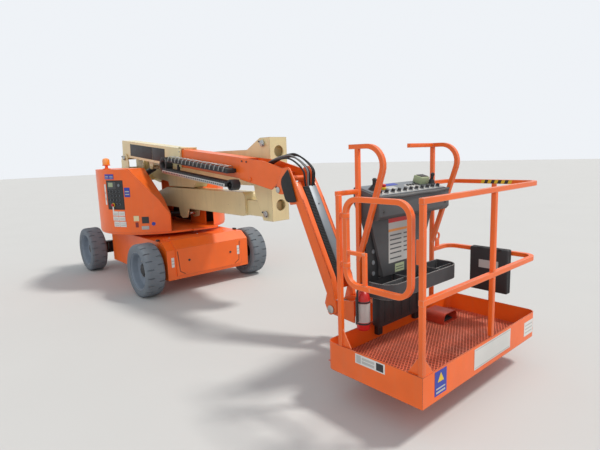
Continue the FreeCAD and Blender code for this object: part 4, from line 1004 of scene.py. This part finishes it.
        form.block(seat(4.300, -0.420, 0.740), seat(4.316, -0.290, 1.130), bevel=0.002, paint=Paint.BLACK_STEEL)
        for level in (0.800, 0.880, 0.960):
            form.bar(seat(4.316, -0.350, level), seat(4.320, -0.350, level), 0.016, paint=Paint.GREY_STEEL)
        form.done(35.0)

    def _tool_tray(self) -> None:
        """Make the tool tray with its pockets, under the console."""
        form = Form("platform_tool_tray", "platform", Paint.WORN_PLASTIC)
        low, high = 0.640, 0.750
        corners = [seat(4.286, -0.400, low), seat(4.500, -0.400, low), seat(4.500, 0.510, low), seat(4.286, 0.510, low)]
        form.sheet(corners, (0, 0, high - low), rounds={1: 0.11, 2: 0.11})
        top = max((face for face in form.mesh.faces if face.normal.z > 0.9), key=lambda item: item.calc_area())
        bmesh.ops.inset_region(form.mesh, faces=[top], thickness=0.009, use_even_offset=True)
        sunk = bmesh.ops.extrude_discrete_faces(form.mesh, faces=[top])["faces"]
        bmesh.ops.translate(form.mesh, vec=(0, 0, -0.095), verts=list({vert for item in sunk for vert in item.verts}))
        for side in (-0.105, 0.235):
            form.block(seat(4.295, side, low + 0.012), seat(4.491, side + 0.009, high - 0.002), bevel=0.002)
        form.block(seat(4.392, -0.391, low + 0.012), seat(4.400, -0.105, high - 0.012), bevel=0.002)
        form.block(seat(4.420, 0.244, low + 0.012), seat(4.428, 0.501, high - 0.012), bevel=0.002)
        form.done(35.0)

    def _bottle(self) -> None:
        """Make the fire extinguisher in its bracket."""
        form = Form("platform_extinguisher", "platform", Paint.RED)
        centre = seat(4.334, -0.482, 0.0)
        place = Matrix.Translation(centre)
        form.lathe([(0.0, 0.430), (0.040, 0.430), (0.047, 0.437), (0.047, 0.655), (0.042, 0.680), (0.028, 0.698), (0.016, 0.706),
                    (0.016, 0.726), (0.0, 0.726)], place, 32)
        form.lathe([(0.0476, 0.490), (0.0476, 0.625), (0.0470, 0.625), (0.0470, 0.490), (0.0476, 0.490)], place, 32, Paint.PALE)
        for level in (0.474, 0.628):
            form.lathe([(0.0470, level), (0.0492, level), (0.0492, level + 0.012), (0.0470, level + 0.012), (0.0470, level)],
                       place, 32, Paint.BLACK_STEEL)
        form.block(centre + Vector((-0.062, -0.014, 0.450)), centre + Vector((-0.046, 0.014, 0.650)), bevel=0.002,
                   paint=Paint.BLACK_STEEL)
        form.block(centre + Vector((-0.020, -0.013, 0.722)), centre + Vector((0.022, 0.013, 0.748)), bevel=0.004,
                   paint=Paint.GREY_STEEL)
        for low, reach in ((0.758, 0.080), (0.744, 0.070)):
            form.block(centre + Vector((-0.010, -0.008, low)), centre + Vector((reach, 0.008, low + 0.006)), bevel=0.002,
                       paint=Paint.BLACK_STEEL)
        form.sweep([centre + Vector((0, -0.012, 0.734)), centre + Vector((0, -0.062, 0.734)), centre + Vector((0, -0.060, 0.500))],
                   0.007, 0.030, sides=10, up=(1, 0, 0), paint=Paint.RUBBER)
        form.done(35.0)

    def _switch(self) -> None:
        """Make the foot switch under its hood."""
        form = Form("platform_foot_switch", "platform", Paint.SWITCH_RED)
        low_z, high_z = self.floor + 0.004, self.floor + 0.090
        corners = [seat(4.290, 0.330, low_z), seat(4.290, 0.530, low_z), seat(4.290, 0.530, high_z), seat(4.290, 0.330, high_z)]
        form.sheet(corners, (0.180, 0, 0), rounds={2: 0.045, 3: 0.045})
        mouth = max((face for face in form.mesh.faces if face.normal.x > 0.9), key=lambda item: item.calc_area())
        bmesh.ops.inset_region(form.mesh, faces=[mouth], thickness=0.008, use_even_offset=True)
        sunk = bmesh.ops.extrude_discrete_faces(form.mesh, faces=[mouth])["faces"]
        bmesh.ops.translate(form.mesh, vec=(-0.165, 0, 0), verts=list({vert for item in sunk for vert in item.verts}))
        dark = form.paint(Paint.BLACK_PLASTIC)
        for face in sunk:
            face.material_index = dark
        tread = Slope(4.320, BOOM_Y, self.floor + 0.040, math.radians(12)).matrix()
        form.block((0.0, 0.360, 0.0), (0.130, 0.500, 0.010), tread, 0.003, Paint.BLACK_PLASTIC)
        for index in range(6):
            form.block((0.012 + index * 0.019, 0.368, 0.010), (0.020 + index * 0.019, 0.492, 0.013), tread, 0.001, Paint.RUBBER)
        form.done(35.0)

    def _paper_box(self) -> None:
        """Make the box for the papers on the left rail."""
        form = Form("platform_paper_box", "platform", Paint.BLACK_PLASTIC)
        form.block(seat(4.500, 0.664, 0.510), seat(4.815, 0.692, 0.866), bevel=0.012, segments=3)
        form.block(seat(4.500, 0.6925, 0.510), seat(4.815, 0.7275, 0.866), bevel=0.012, segments=3)
        for along in (4.560, 4.735):
            form.block(seat(along, 0.660, 0.850), seat(along + 0.030, 0.700, 0.869), bevel=0.003)
        form.label(seat(4.580, 0.6635, 0.700), (0.160, 0, 0), (0, 0, 0.065), Paint.PALE)
        form.done(35.0)


@dataclass
class Boom:
    """What the boom carries: the energy chain, its hoops, the side panel and the nose."""

    pitch: float = 0.044
    link: float = 0.034
    near: float = -0.215
    far: float = -0.115
    rear: float = 1.530
    loop_up: float = 0.035
    loop_r: float = 0.070
    half: float = 0.025
    hoops: int = 15

    def build(self) -> None:
        """Make the chain and the panels."""
        self._lower()
        self._upper()
        self._panel()
        self._nose()

    def _strand(self, form: Form, start: float, count: int, level: float) -> None:
        """Add a straight strand of links."""
        for index in range(count):
            along = start + index * self.pitch
            form.block((along, self.near, level - self.half), (along + self.link, self.far, level + self.half),
                       BOOM.matrix(), 0.004)
        form.block((start, self.near + 0.008, level - self.half + 0.008),
                   (start + count * self.pitch, self.far - 0.008, level + self.half - 0.008), BOOM.matrix())

    def _ring(self, form: Form, along: float, up: float, radius: float, turns: Sequence[float]) -> None:
        """Add links round an axis."""
        for turn in turns:
            place = BOOM.matrix() @ Matrix.Translation((along, 0, up)) @ Matrix.Rotation(math.radians(turn), 4, "Y")
            form.block((-0.024, self.near, radius - self.half), (0.024, self.far, radius + self.half), place, 0.004)

    def _lower(self) -> None:
        """Make the chain's loop and lower strand in its tray, on the base section."""
        form = Form("energy_chain_lower", "main_boom", Paint.BLACK_PLASTIC)
        low = self.loop_up - self.loop_r
        self._strand(form, self.rear + 0.022, 36, low)
        self._ring(form, self.rear, self.loop_up, self.loop_r, (-8, -37, -66, -95, -124, -153, -180))
        core = BOOM.matrix() @ Matrix.Translation((self.rear, 0, self.loop_up)) @ Matrix.Rotation(math.pi / 2, 4, "X")
        form.lathe([(0.055, 0.125), (0.083, 0.125), (0.083, 0.205), (0.055, 0.205), (0.055, 0.125)], core, 32)
        self._ring(form, self.rear + 36 * self.pitch, low, 0.030, range(0, 360, 45))
        form.block((self.rear, self.near - 0.006, low - self.half - 0.008),
                   (self.rear + 34 * self.pitch, self.far + 0.004, low - self.half), BOOM.matrix(), 0.001, Paint.ZINC)
        form.block((self.rear, self.near - 0.009, low - self.half - 0.008),
                   (self.rear + 34 * self.pitch, self.near - 0.005, low + 0.004), BOOM.matrix(), 0.001, Paint.ZINC)
        for index in range(33):
            start = self.rear + 0.030 + index * self.pitch
            form.block((start, self.near - 0.0096, low - 0.024), (start + 0.024, self.near - 0.0088, low - 0.006), BOOM.matrix(),
                       paint=Paint.BLACK_STEEL)
        for start in (self.rear + 0.040, 1.770):
            form.block((start, -0.135, low - self.half - 0.008), (start + 0.030, -0.1052, 0.055), BOOM.matrix(), 0.002,
                       Paint.BLACK_STEEL)
        form.done(35.0)

    def _upper(self) -> None:
        """Make the chain's upper strand and the bright hoops over it, on the fly section."""
        form = Form("energy_chain_upper", "fly_boom", Paint.BLACK_PLASTIC)
        high = self.loop_up + self.loop_r
        start = self.rear + 3 * self.pitch
        self._strand(form, start, 32, high)
        end = start + 32 * self.pitch
        form.block((end - 0.060, -0.135, high - 0.020), (end - 0.020, -0.0925, high + 0.020), BOOM.matrix(), 0.002)
        for index in range(self.hoops):
            along = start + 0.040 + index * 0.092
            form.sweep([BOOM.at(along, self.near - 0.006, high - 0.010), BOOM.at(along + 0.02, self.near - 0.006, high + 0.048),
                        BOOM.at(along + 0.03, self.far + 0.004, high + 0.048), BOOM.at(along + 0.01, self.far + 0.004, high)],
                       0.0045, 0.026, sides=8, up=BOOM.turn() @ Vector((1, 0, 0)), paint=Paint.ZINC)
        form.done(35.0)

    def _panel(self) -> None:
        """Put the black blank panel on the base section, in two lengths, and plates on the far side."""
        form = Form("boom_side_panel", "main_boom", Paint.BLACK_PLASTIC)
        for first, last in ((0.200, 0.975), (0.983, 1.370)):
            form.block((first, -0.1085, 0.050), (last, -0.1052, 0.225), BOOM.matrix(), 0.0015)
        for first, last in ((0.200, 1.370),):
            form.block((first, 0.1052, 0.050), (last, 0.1085, 0.225), BOOM.matrix(), 0.0015)
        form.done(35.0)
        form = Form("boom_front_collar", "main_boom", Paint.CREAM)
        for low, high, low_up, high_up in ((-0.118, -0.1055, 0.030, 0.272), (0.1055, 0.118, 0.030, 0.272),
                                           (-0.118, 0.118, 0.2602, 0.272)):
            form.block((1.790, low, low_up), (1.832, high, high_up), BOOM.matrix(), 0.002)
        for side in (-0.118, 0.118):
            for up in (0.080, 0.150, 0.220):
                way = 0.007 if side > 0 else -0.007
                form.bar(BOOM.at(1.811, side, up), BOOM.at(1.811, side + way, up), 0.009, sides=6, paint=Paint.ZINC)
        form.done(35.0)

    def _nose(self) -> None:
        """Dress the nose: pin heads and the dark mouth on its top that the hoses leave by."""
        form = Form("fly_nose_fittings", "fly_boom", Paint.BLACK_STEEL)
        for side, out in ((-0.113, -1.0), (0.113, 1.0)):
            form.bar(BOOM.at(3.930, side - 0.002 * out, 0.117), BOOM.at(3.930, side + 0.0205 * out, 0.117), 0.0248, sides=28)
            form.bar(BOOM.at(3.330, side - 0.006 * out, 0.045), BOOM.at(3.330, side + 0.004 * out, 0.045), 0.022, sides=24,
                     bevel=0.002, paint=Paint.ORANGE)
        form.block((3.340, -0.080, 0.1552), (3.430, 0.080, 0.190), BOOM.matrix(), 0.004, Paint.BLACK_PLASTIC)
        for along in (3.180, 3.260):
            for side in (-0.109, 0.109):
                form.bar(BOOM.at(along, side * 0.98, 0.215), BOOM.at(along, side * 1.06, 0.215), 0.009, sides=6)
        form.done(35.0)


@dataclass
class Jib:
    """The jib: an open channel with its cover, brush, rubber flap and hoses."""

    half: float = 0.135
    plate: float = 0.015
    outline: Tuple[Tuple[float, float], ...] = (
        (-0.110, 0.000), (-0.080, 0.088), (0.250, 0.113), (1.000, 0.123), (1.285, 0.060), (1.285, -0.050),
        (1.170, -0.050), (1.100, 0.014), (0.262, 0.018), (0.235, -0.060), (0.122, -0.080), (0.087, -0.155),
        (0.042, -0.195), (-0.003, -0.155), (-0.065, -0.060),
    )
    lip: Tuple[Tuple[float, float], ...] = (
        (0.080, 0.090), (0.080, 0.100), (0.250, 0.113), (1.000, 0.123), (1.180, 0.083), (1.180, 0.072),
        (0.998, 0.112), (0.252, 0.102),
    )
    hoses: int = 5

    def build(self) -> None:
        """Make the channel and what it carries."""
        self._channel()
        self._cover()
        self._hoses()

    def _channel(self) -> None:
        """Make the two side plates, the web between them and the lips."""
        form = Form("jib_channel", "jib", Paint.ORANGE)
        for low in (-self.half, self.half - self.plate):
            form.sheet([JIB.at(along, low, up) for along, up in self.outline], (0, self.plate, 0), 0.0015,
                       rounds={0: 0.04, 1: 0.03, 4: 0.03, 5: 0.03, 11: 0.02, 13: 0.02})
        form.block((0.270, -self.half + 0.002, 0.020), (1.095, self.half - 0.002, 0.030), JIB.matrix(), 0.002)
        for low, wide in ((-self.half + 0.001, 0.064), (self.half - 0.040, 0.039)):
            form.sheet([JIB.at(along, low, up) for along, up in self.lip], (0, wide, 0), 0.001)
        for side in (-1.0, 1.0):
            start = side * (self.half - 0.004)
            form.bar(JIB.at(0.042, start, -0.155), JIB.at(0.042, side * 0.031, -0.155), 0.0155, sides=20, paint=Paint.ZINC)
            form.bar(JIB.at(0.042, side * self.half, -0.155), JIB.at(0.042, side * (self.half + 0.008), -0.155), 0.028,
                     sides=20, bevel=0.002, paint=Paint.ZINC)
        form.done(35.0, ["jib_boom"])
        form = Form("jib_foot_pins", "level_link", Paint.ZINC)
        for side in (-1.0, 1.0):
            form.bar(JIB.at(1.240, side * 0.108, 0), JIB.at(1.240, side * 0.137, 0), 0.0248, sides=28)
            form.bar(JIB.at(1.240, side * 0.1365, 0), JIB.at(1.240, side * 0.146, 0), 0.036, sides=28, bevel=0.002)
        form.done(35.0)

    def _cover(self) -> None:
        """Make the cover plate, the brush along its near side and the rubber flap."""
        form = Form("jib_hose_cover", "jib", Paint.GREY_STEEL)
        cover = ((0.130, 0.100), (0.130, 0.112), (0.940, 0.122), (0.940, 0.110))
        form.sheet([JIB.at(along, 0.002, up) for along, up in cover], (0, 0.090, 0), 0.001)
        for along in (0.300, 0.840):
            form.block((along, 0.020, 0.030), (along + 0.020, 0.040, 0.108), JIB.matrix(), 0.001)
            form.bar(JIB.at(along + 0.010, 0.047, 0.112), JIB.at(along + 0.010, 0.047, 0.121), 0.008, sides=6)
        form.done(35.0)
        form = Form("jib_brush", "jib", Paint.RUBBER)
        form.block((0.130, -0.066, 0.080), (1.080, -0.002, 0.092), JIB.matrix())
        for index in range(66):
            along = 0.132 + index * 0.0143
            up = 0.100 + (along - 0.130) * 0.0123
            form.block((along, -0.064, 0.090), (along + 0.0085, -0.004, up + 0.014), JIB.matrix())
        form.done(30.0)
        form = Form("jib_rubber_flap", "jib", Paint.RUBBER)
        flap = ((-0.058, 0.078), (-0.017, -0.069), (0.196, -0.089), (0.241, 0.018), (0.246, 0.049), (-0.008, 0.080))
        form.sheet([JIB.at(along, -self.half - 0.0175, up) for along, up in flap], (0, 0.006, 0), 0.0015,
                   rounds={1: 0.05, 2: 0.04})
        form.done(35.0)

    def _hoses(self) -> None:
        """Run the hoses from the nose over the pivot and under the cover."""
        for index in range(self.hoses):
            side = -0.062 + index * 0.027
            rise = 0.020 * (index % 2) + 0.006 * index
            paint = Paint.HOSE_GREY if index == 1 else Paint.RUBBER
            points = [BOOM.at(3.380, side * 0.8, 0.172), BOOM.at(3.470, side * 0.9, 0.190), BOOM.at(3.600, side, 0.245 + rise * 0.6),
                      BOOM.at(3.760, side * 1.02, 0.285 + rise), BOOM.at(3.900, side * 1.02, 0.305 + rise), JIB.at(0.000, side + 0.010, 0.180 + rise),
                      JIB.at(0.080, side + 0.022, 0.130 + rise * 0.5), JIB.at(0.160, side * 0.8 + 0.034, 0.082),
                      JIB.at(0.300, side * 0.5 + 0.040, 0.060), JIB.at(0.560, side * 0.5 + 0.044, 0.052),
                      JIB.at(0.900, side * 0.5 + 0.044, 0.050)]
            piece = hose("nose_hose_%d" % (index + 1), points, 0.0085, paint)
            tuple(BOOM.at(3.780, side, 0.200))
            tuple(JIB.at(0.130, side, 0.100))
            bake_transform(piece)


@dataclass
class Machine:
    """Fittings of the hoods, the chassis and the towers."""

    drum: float = 0.8752
    panel_turn: float = -68.0
    seam: float = 0.008

    def build(self) -> None:
        """Make the fittings."""
        self._ground_panel()
        self._hood_plates()
        self._beacon()
        self._chassis()
        self._towers()

    def _on_drum(self, across: float, radius: float) -> Tuple[Vector, Vector]:
        """Return a place and the sideways way on the drum, so far from the panel's middle."""
        angle = math.radians(self.panel_turn) + across / self.drum
        way = Vector((-math.sin(angle), math.cos(angle), 0))
        return Vector((radius * math.cos(angle) - MIDDLE, radius * math.sin(angle), 0)), way

    def _ground_panel(self) -> None:
        """Put the switches, lamps and the stop button on the ground control panel."""
        form = Form("ground_controls", "hood_right", Paint.BLACK_PLASTIC)
        middle, way = self._on_drum(0.0, 0.859)
        out = way.cross(Vector((0, 0, 1)))
        face = Matrix((way, Vector((0, 0, 1)), out)).transposed().to_4x4()
        face.translation = middle
        form.block((-0.140, 1.040, 0.0), (0.140, 1.400, 0.003), face, 0.001)
        form.block((-0.120, 1.300, 0.003), (0.020, 1.390, 0.007), face, 0.002, Paint.GREY_PLASTIC)
        form.block((-0.110, 1.325, 0.007), (-0.030, 1.380, 0.0085), face, paint=Paint.GREEN_PALE)
        for row, level in enumerate((1.265, 1.210, 1.155, 1.100)):
            for column in range(4):
                across = -0.105 + column * 0.058
                if row == 3 and column == 1:
                    continue
                form.bar(face @ Vector((across, level, 0.003)), face @ Vector((across, level, 0.008)), 0.015, sides=18,
                         bevel=0.001, paint=Paint.GREY_STEEL)
                form.block((across - 0.004, level - 0.010, 0.008), (across + 0.004, level + 0.012, 0.020), face, 0.002)
        form.bar(face @ Vector((-0.047, 1.090, 0.003)), face @ Vector((-0.047, 1.090, 0.012)), 0.026, bevel=0.002,
                 paint=Paint.YELLOW)
        form.bar(face @ Vector((-0.047, 1.090, 0.010)), face @ Vector((-0.047, 1.090, 0.032)), 0.019, bevel=0.004,
                 paint=Paint.RED)
        form.bar(face @ Vector((0.080, 1.345, 0.003)), face @ Vector((0.080, 1.345, 0.012)), 0.020, bevel=0.002,
                 paint=Paint.GREY_STEEL)
        form.block((-0.058, 0.995, 0.0165), (-0.034, 1.070, 0.0180), face, paint=Paint.WHITE)
        form.done(35.0)

    def _hood_plates(self) -> None:
        """Put the blank plates on the right hood."""
        form = Form("hood_plates", "hood_right", Paint.WHITE)
        for across, wide, low, tall, paint in (
                (-0.165, 0.085, 1.425, 0.065, Paint.BLUE), (-0.075, 0.085, 1.425, 0.065, Paint.BLUE),
                (-0.200, 0.035, 1.090, 0.270, Paint.WHITE), (0.165, 0.080, 1.195, 0.120, Paint.BLUE),
                (-0.060, 0.100, 0.950, 0.058, Paint.WHITE), (0.045, 0.100, 0.950, 0.058, Paint.WHITE),
                (-0.060, 0.100, 0.885, 0.056, Paint.WHITE), (0.045, 0.100, 0.885, 0.056, Paint.WHITE),
                (-0.050, 0.100, 0.805, 0.070, Paint.WHITE), (0.055, 0.100, 0.805, 0.070, Paint.WHITE),
                (0.265, 0.075, 0.880, 0.070, Paint.CREAM), (0.375, 0.090, 0.850, 0.085, Paint.BLACK_PLASTIC),
                (0.285, 0.040, 0.800, 0.065, Paint.DARK_RED), (0.365, 0.095, 0.770, 0.045, Paint.PALE)):
            place, way = self._on_drum(across + wide / 2, self.drum + 0.0014)
            marks = [(0.12, low_mark, 0.88, low_mark + 0.12, Paint.PALE) for low_mark in (0.22, 0.52)]
            form.label(place - way * (wide / 2) + Vector((0, 0, low)), way * wide, (0, 0, tall), paint,
                       marks if paint in (Paint.BLUE, Paint.WHITE) else ())
        place, way = self._on_drum(0.520, self.drum + 0.001)
        out = way.cross(Vector((0, 0, 1)))
        form.bar(place + Vector((0, 0, 0.840)), place + out * LABEL_T + Vector((0, 0, 0.840)), 0.024, sides=24, paint=Paint.BLUE)
        form.label(spot(0.180, -0.790, 1.5502), (0.230, 0.020, 0), (-0.006, 0.070, 0), Paint.WHITE,
                   ((0.04, 0.15, 0.30, 0.85, Paint.BLUE),))
        form.done()

    def _beacon(self) -> None:
        """Make the amber lamp on its stem, on the right hood."""
        form = Form("hood_beacon", "hood_right", Paint.AMBER)
        low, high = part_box("beacon")
        foot = Vector(((low.x + high.x) / 2, (low.y + high.y) / 2, low.z))
        place = Matrix.Translation(foot)
        form.lathe([(0.0, 0.062), (0.044, 0.062), (0.046, 0.075), (0.046, 0.115), (0.040, 0.136), (0.024, 0.148), (0.0, 0.151)],
                   place, 32)
        form.lathe([(0.0, 0.0), (0.050, 0.0), (0.050, 0.010), (0.022, 0.018), (0.018, 0.046), (0.050, 0.052), (0.050, 0.062),
                    (0.0, 0.062)], place, 32, Paint.ORANGE)
        form.done(35.0, ["beacon"])

    def _chassis(self) -> None:
        """Draw the seams of the end cover as thin strips of painted shade, its latches and the tie-down eyes."""
        form = Form("end_cover_seams", "chassis", Paint.PAINTED_SHADE_GAP)
        face = 1.2642
        # Each seam is a thin dark strip: painted shade in the gap of the end cover.
        for side in (-1.0, 1.0):
            form.sheet([spot(face, side * 0.455, 0.540), spot(face, side * 0.445, 0.540), spot(face, side * 0.425, 0.290),
                        spot(face, side * 0.360, 0.248), spot(face, side * 0.360, 0.240), spot(face, side * 0.432, 0.284)],
                       (0.0008, 0, 0))
        for side, level in ((-0.530, 0.350), (0.405, 0.360)):
            depth = face if abs(side) < 0.45 else 1.2502
            form.label(spot(depth, side, level), (0, 0.036, 0), (0, 0, 0.120), Paint.WHITE,
                       ((0.1, 0.30, 0.9, 0.40, Paint.PALE), (0.1, 0.60, 0.9, 0.70, Paint.PALE)))
        form.block(spot(0.955, -0.583, 0.6505), spot(1.010, -0.548, 0.672), bevel=0.004, paint=Paint.BLACK_STEEL)
        form.block(spot(0.955, 0.548, 0.6505), spot(1.010, 0.583, 0.672), bevel=0.004, paint=Paint.BLACK_STEEL)
        for side in (-0.30, 0.30):
            form.bar(spot(face, side, 0.410), spot(face + 0.006, side, 0.410), 0.014, sides=20, paint=Paint.BLACK_STEEL)
        for side in (-0.40, 0.0, 0.40):
            form.bar(spot(0.955, side, 0.6642), spot(0.955, side, 0.6700), 0.010, sides=6, paint=Paint.ZINC)
        form.done(35.0)

    def _towers(self) -> None:
        """Put pin retainers on the towers' pivots and a blank plate on the upper tower."""
        for body, name, points in (
                ("turntable", "turntable_pin_heads", ((-0.600, 0.072, 1.030, -1.0), (-0.600, 0.328, 1.030, 1.0))),
                ("front_upright", "front_upright_pin_heads",
                 ((2.390, 0.077, 1.024, -1.0), (2.380, 0.077, 1.790, -1.0), (2.390, 0.323, 1.024, 1.0), (2.380, 0.323, 1.790, 1.0))),
                ("rear_upright", "rear_upright_pin_heads", ((-0.800, -0.223, 1.700, -1.0), (-0.720, 0.328, 1.600, 1.0)))):
            form = Form(name, body, Paint.ZINC)
            for x, y, z, out in points:
                retainer(form, spot(x, y, z), out, 0.5)
            form.done(35.0)
        form = Form("upper_tower_plate", "upper_tower", Paint.WHITE)
        form.label(spot(1.450, 0.1048, 1.560), (0.430, 0, 0), (0, 0, 0.090), Paint.WHITE,
                   ((0.03, 0.70, 0.97, 0.78, Paint.PALE), (0.03, 0.22, 0.97, 0.30, Paint.PALE)))
        form.done()


@dataclass
class Studio:
    """Floor, light and camera."""

    camera_spot: Point = (6.342, -2.882, 1.65)
    heading: Tuple[float, float] = (-0.7536, 0.6574)
    pitch: float = 8.75
    roll: float = 2.0
    focal_px: float = 453.5
    width_px: float = 600.0
    sensor: float = 36.0
    floor_half: float = 60.0
    floor_colour: Colour = (0.60, 0.60, 0.59)

    def build(self) -> None:
        """Set the studio up."""
        self._camera()
        self._floor()
        self._light()

    def _camera(self) -> None:
        """Place the camera where the photograph was taken from."""
        pitch, roll = math.radians(self.pitch), math.radians(self.roll)
        way = Vector(self.heading).normalized()
        forward = Vector((way.x * math.cos(pitch), way.y * math.cos(pitch), -math.sin(pitch)))
        level = forward.cross(Vector((0, 0, 1))).normalized()
        upright = level.cross(forward)
        right = level * math.cos(roll) - upright * math.sin(roll)
        up = upright * math.cos(roll) + level * math.sin(roll)
        turn = Matrix((right, up, -forward)).transposed().to_4x4()
        data = bpy.data.cameras.new("camera")
        data.sensor_width = self.sensor
        data.lens = self.focal_px / self.width_px * self.sensor
        data.clip_end = 200.0
        camera = bpy.data.objects.new("camera", data)
        camera.matrix_world = Matrix.Translation(spot(*self.camera_spot)) @ turn
        bpy.context.scene.collection.objects.link(camera)
        bpy.context.scene.camera = camera

    def _floor(self) -> None:
        """Lay the pale floor."""
        grid = bmesh.new()
        bmesh.ops.create_grid(grid, x_segments=1, y_segments=1, size=self.floor_half)
        data = bpy.data.meshes.new("floor")
        grid.to_mesh(data)
        grid.free()
        floor = bpy.data.objects.new("floor", data)
        bpy.context.scene.collection.objects.link(floor)
        tree = Tree("pale_floor")
        cloud = tree.noise(0.8, 5.0)
        darker = tuple(channel * 0.95 for channel in self.floor_colour)
        data.materials.append(tree.close({"Base Color": tree.mix(cloud, darker, self.floor_colour),
                                          "Roughness": 0.9}))

    def _light(self) -> None:
        """Light the machine from a pale sky and a soft sun."""
        world = bpy.data.worlds.new("sky")
        bpy.context.scene.world = world
        world.use_nodes = True
        nodes, links = world.node_tree.nodes, world.node_tree.links
        nodes.clear()
        path = nodes.new("ShaderNodeLightPath")
        seen = nodes.new("ShaderNodeMath")
        seen.operation = "ADD"
        seen.use_clamp = True
        links.new(path.outputs["Is Camera Ray"], seen.inputs[0])
        links.new(path.outputs["Is Glossy Ray"], seen.inputs[1])
        seen_too = nodes.new("ShaderNodeMath")
        seen_too.operation = "ADD"
        seen_too.use_clamp = True
        links.new(seen.outputs[0], seen_too.inputs[0])
        links.new(path.outputs["Is Transmission Ray"], seen_too.inputs[1])
        strength = nodes.new("ShaderNodeMath")
        strength.operation = "MULTIPLY_ADD"
        strength.inputs[1].default_value = 0.38
        strength.inputs[2].default_value = 0.55
        links.new(seen_too.outputs[0], strength.inputs[0])
        background = nodes.new("ShaderNodeBackground")
        background.inputs["Color"].default_value = (0.93, 0.96, 1.0, 1.0)
        links.new(strength.outputs[0], background.inputs["Strength"])
        output = nodes.new("ShaderNodeOutputWorld")
        links.new(background.outputs[0], output.inputs[0])
        for name, way, power, spread, tint in (
                ("sun", (0.45, 0.62, 1.15), 2.3, 9.0, (1.0, 0.965, 0.91)),
                ("fill", (0.75, -0.95, 0.55), 0.60, 60.0, (0.95, 0.975, 1.0))):
            data = bpy.data.lights.new(name, "SUN")
            data.energy = power
            data.angle = math.radians(spread)
            data.color = tint
            lamp = bpy.data.objects.new(name, data)
            lamp.matrix_world = Vector(way).to_track_quat("Z", "Y").to_matrix().to_4x4()
            bpy.context.scene.collection.objects.link(lamp)
        bpy.context.scene.view_settings.view_transform = "Standard"


def main() -> None:
    """Build the studio and dress the machine."""
    logging.basicConfig(level=logging.INFO, format="%(message)s")
    Studio().build()
    dress_frame()
    for place in ("rear_right", "rear_left", "front_right", "front_left"):
        Wheel(place).build()
    for part in (Platform(), Boom(), Jib(), Machine()):
        part.build()


if __name__ == "__main__":
    main()
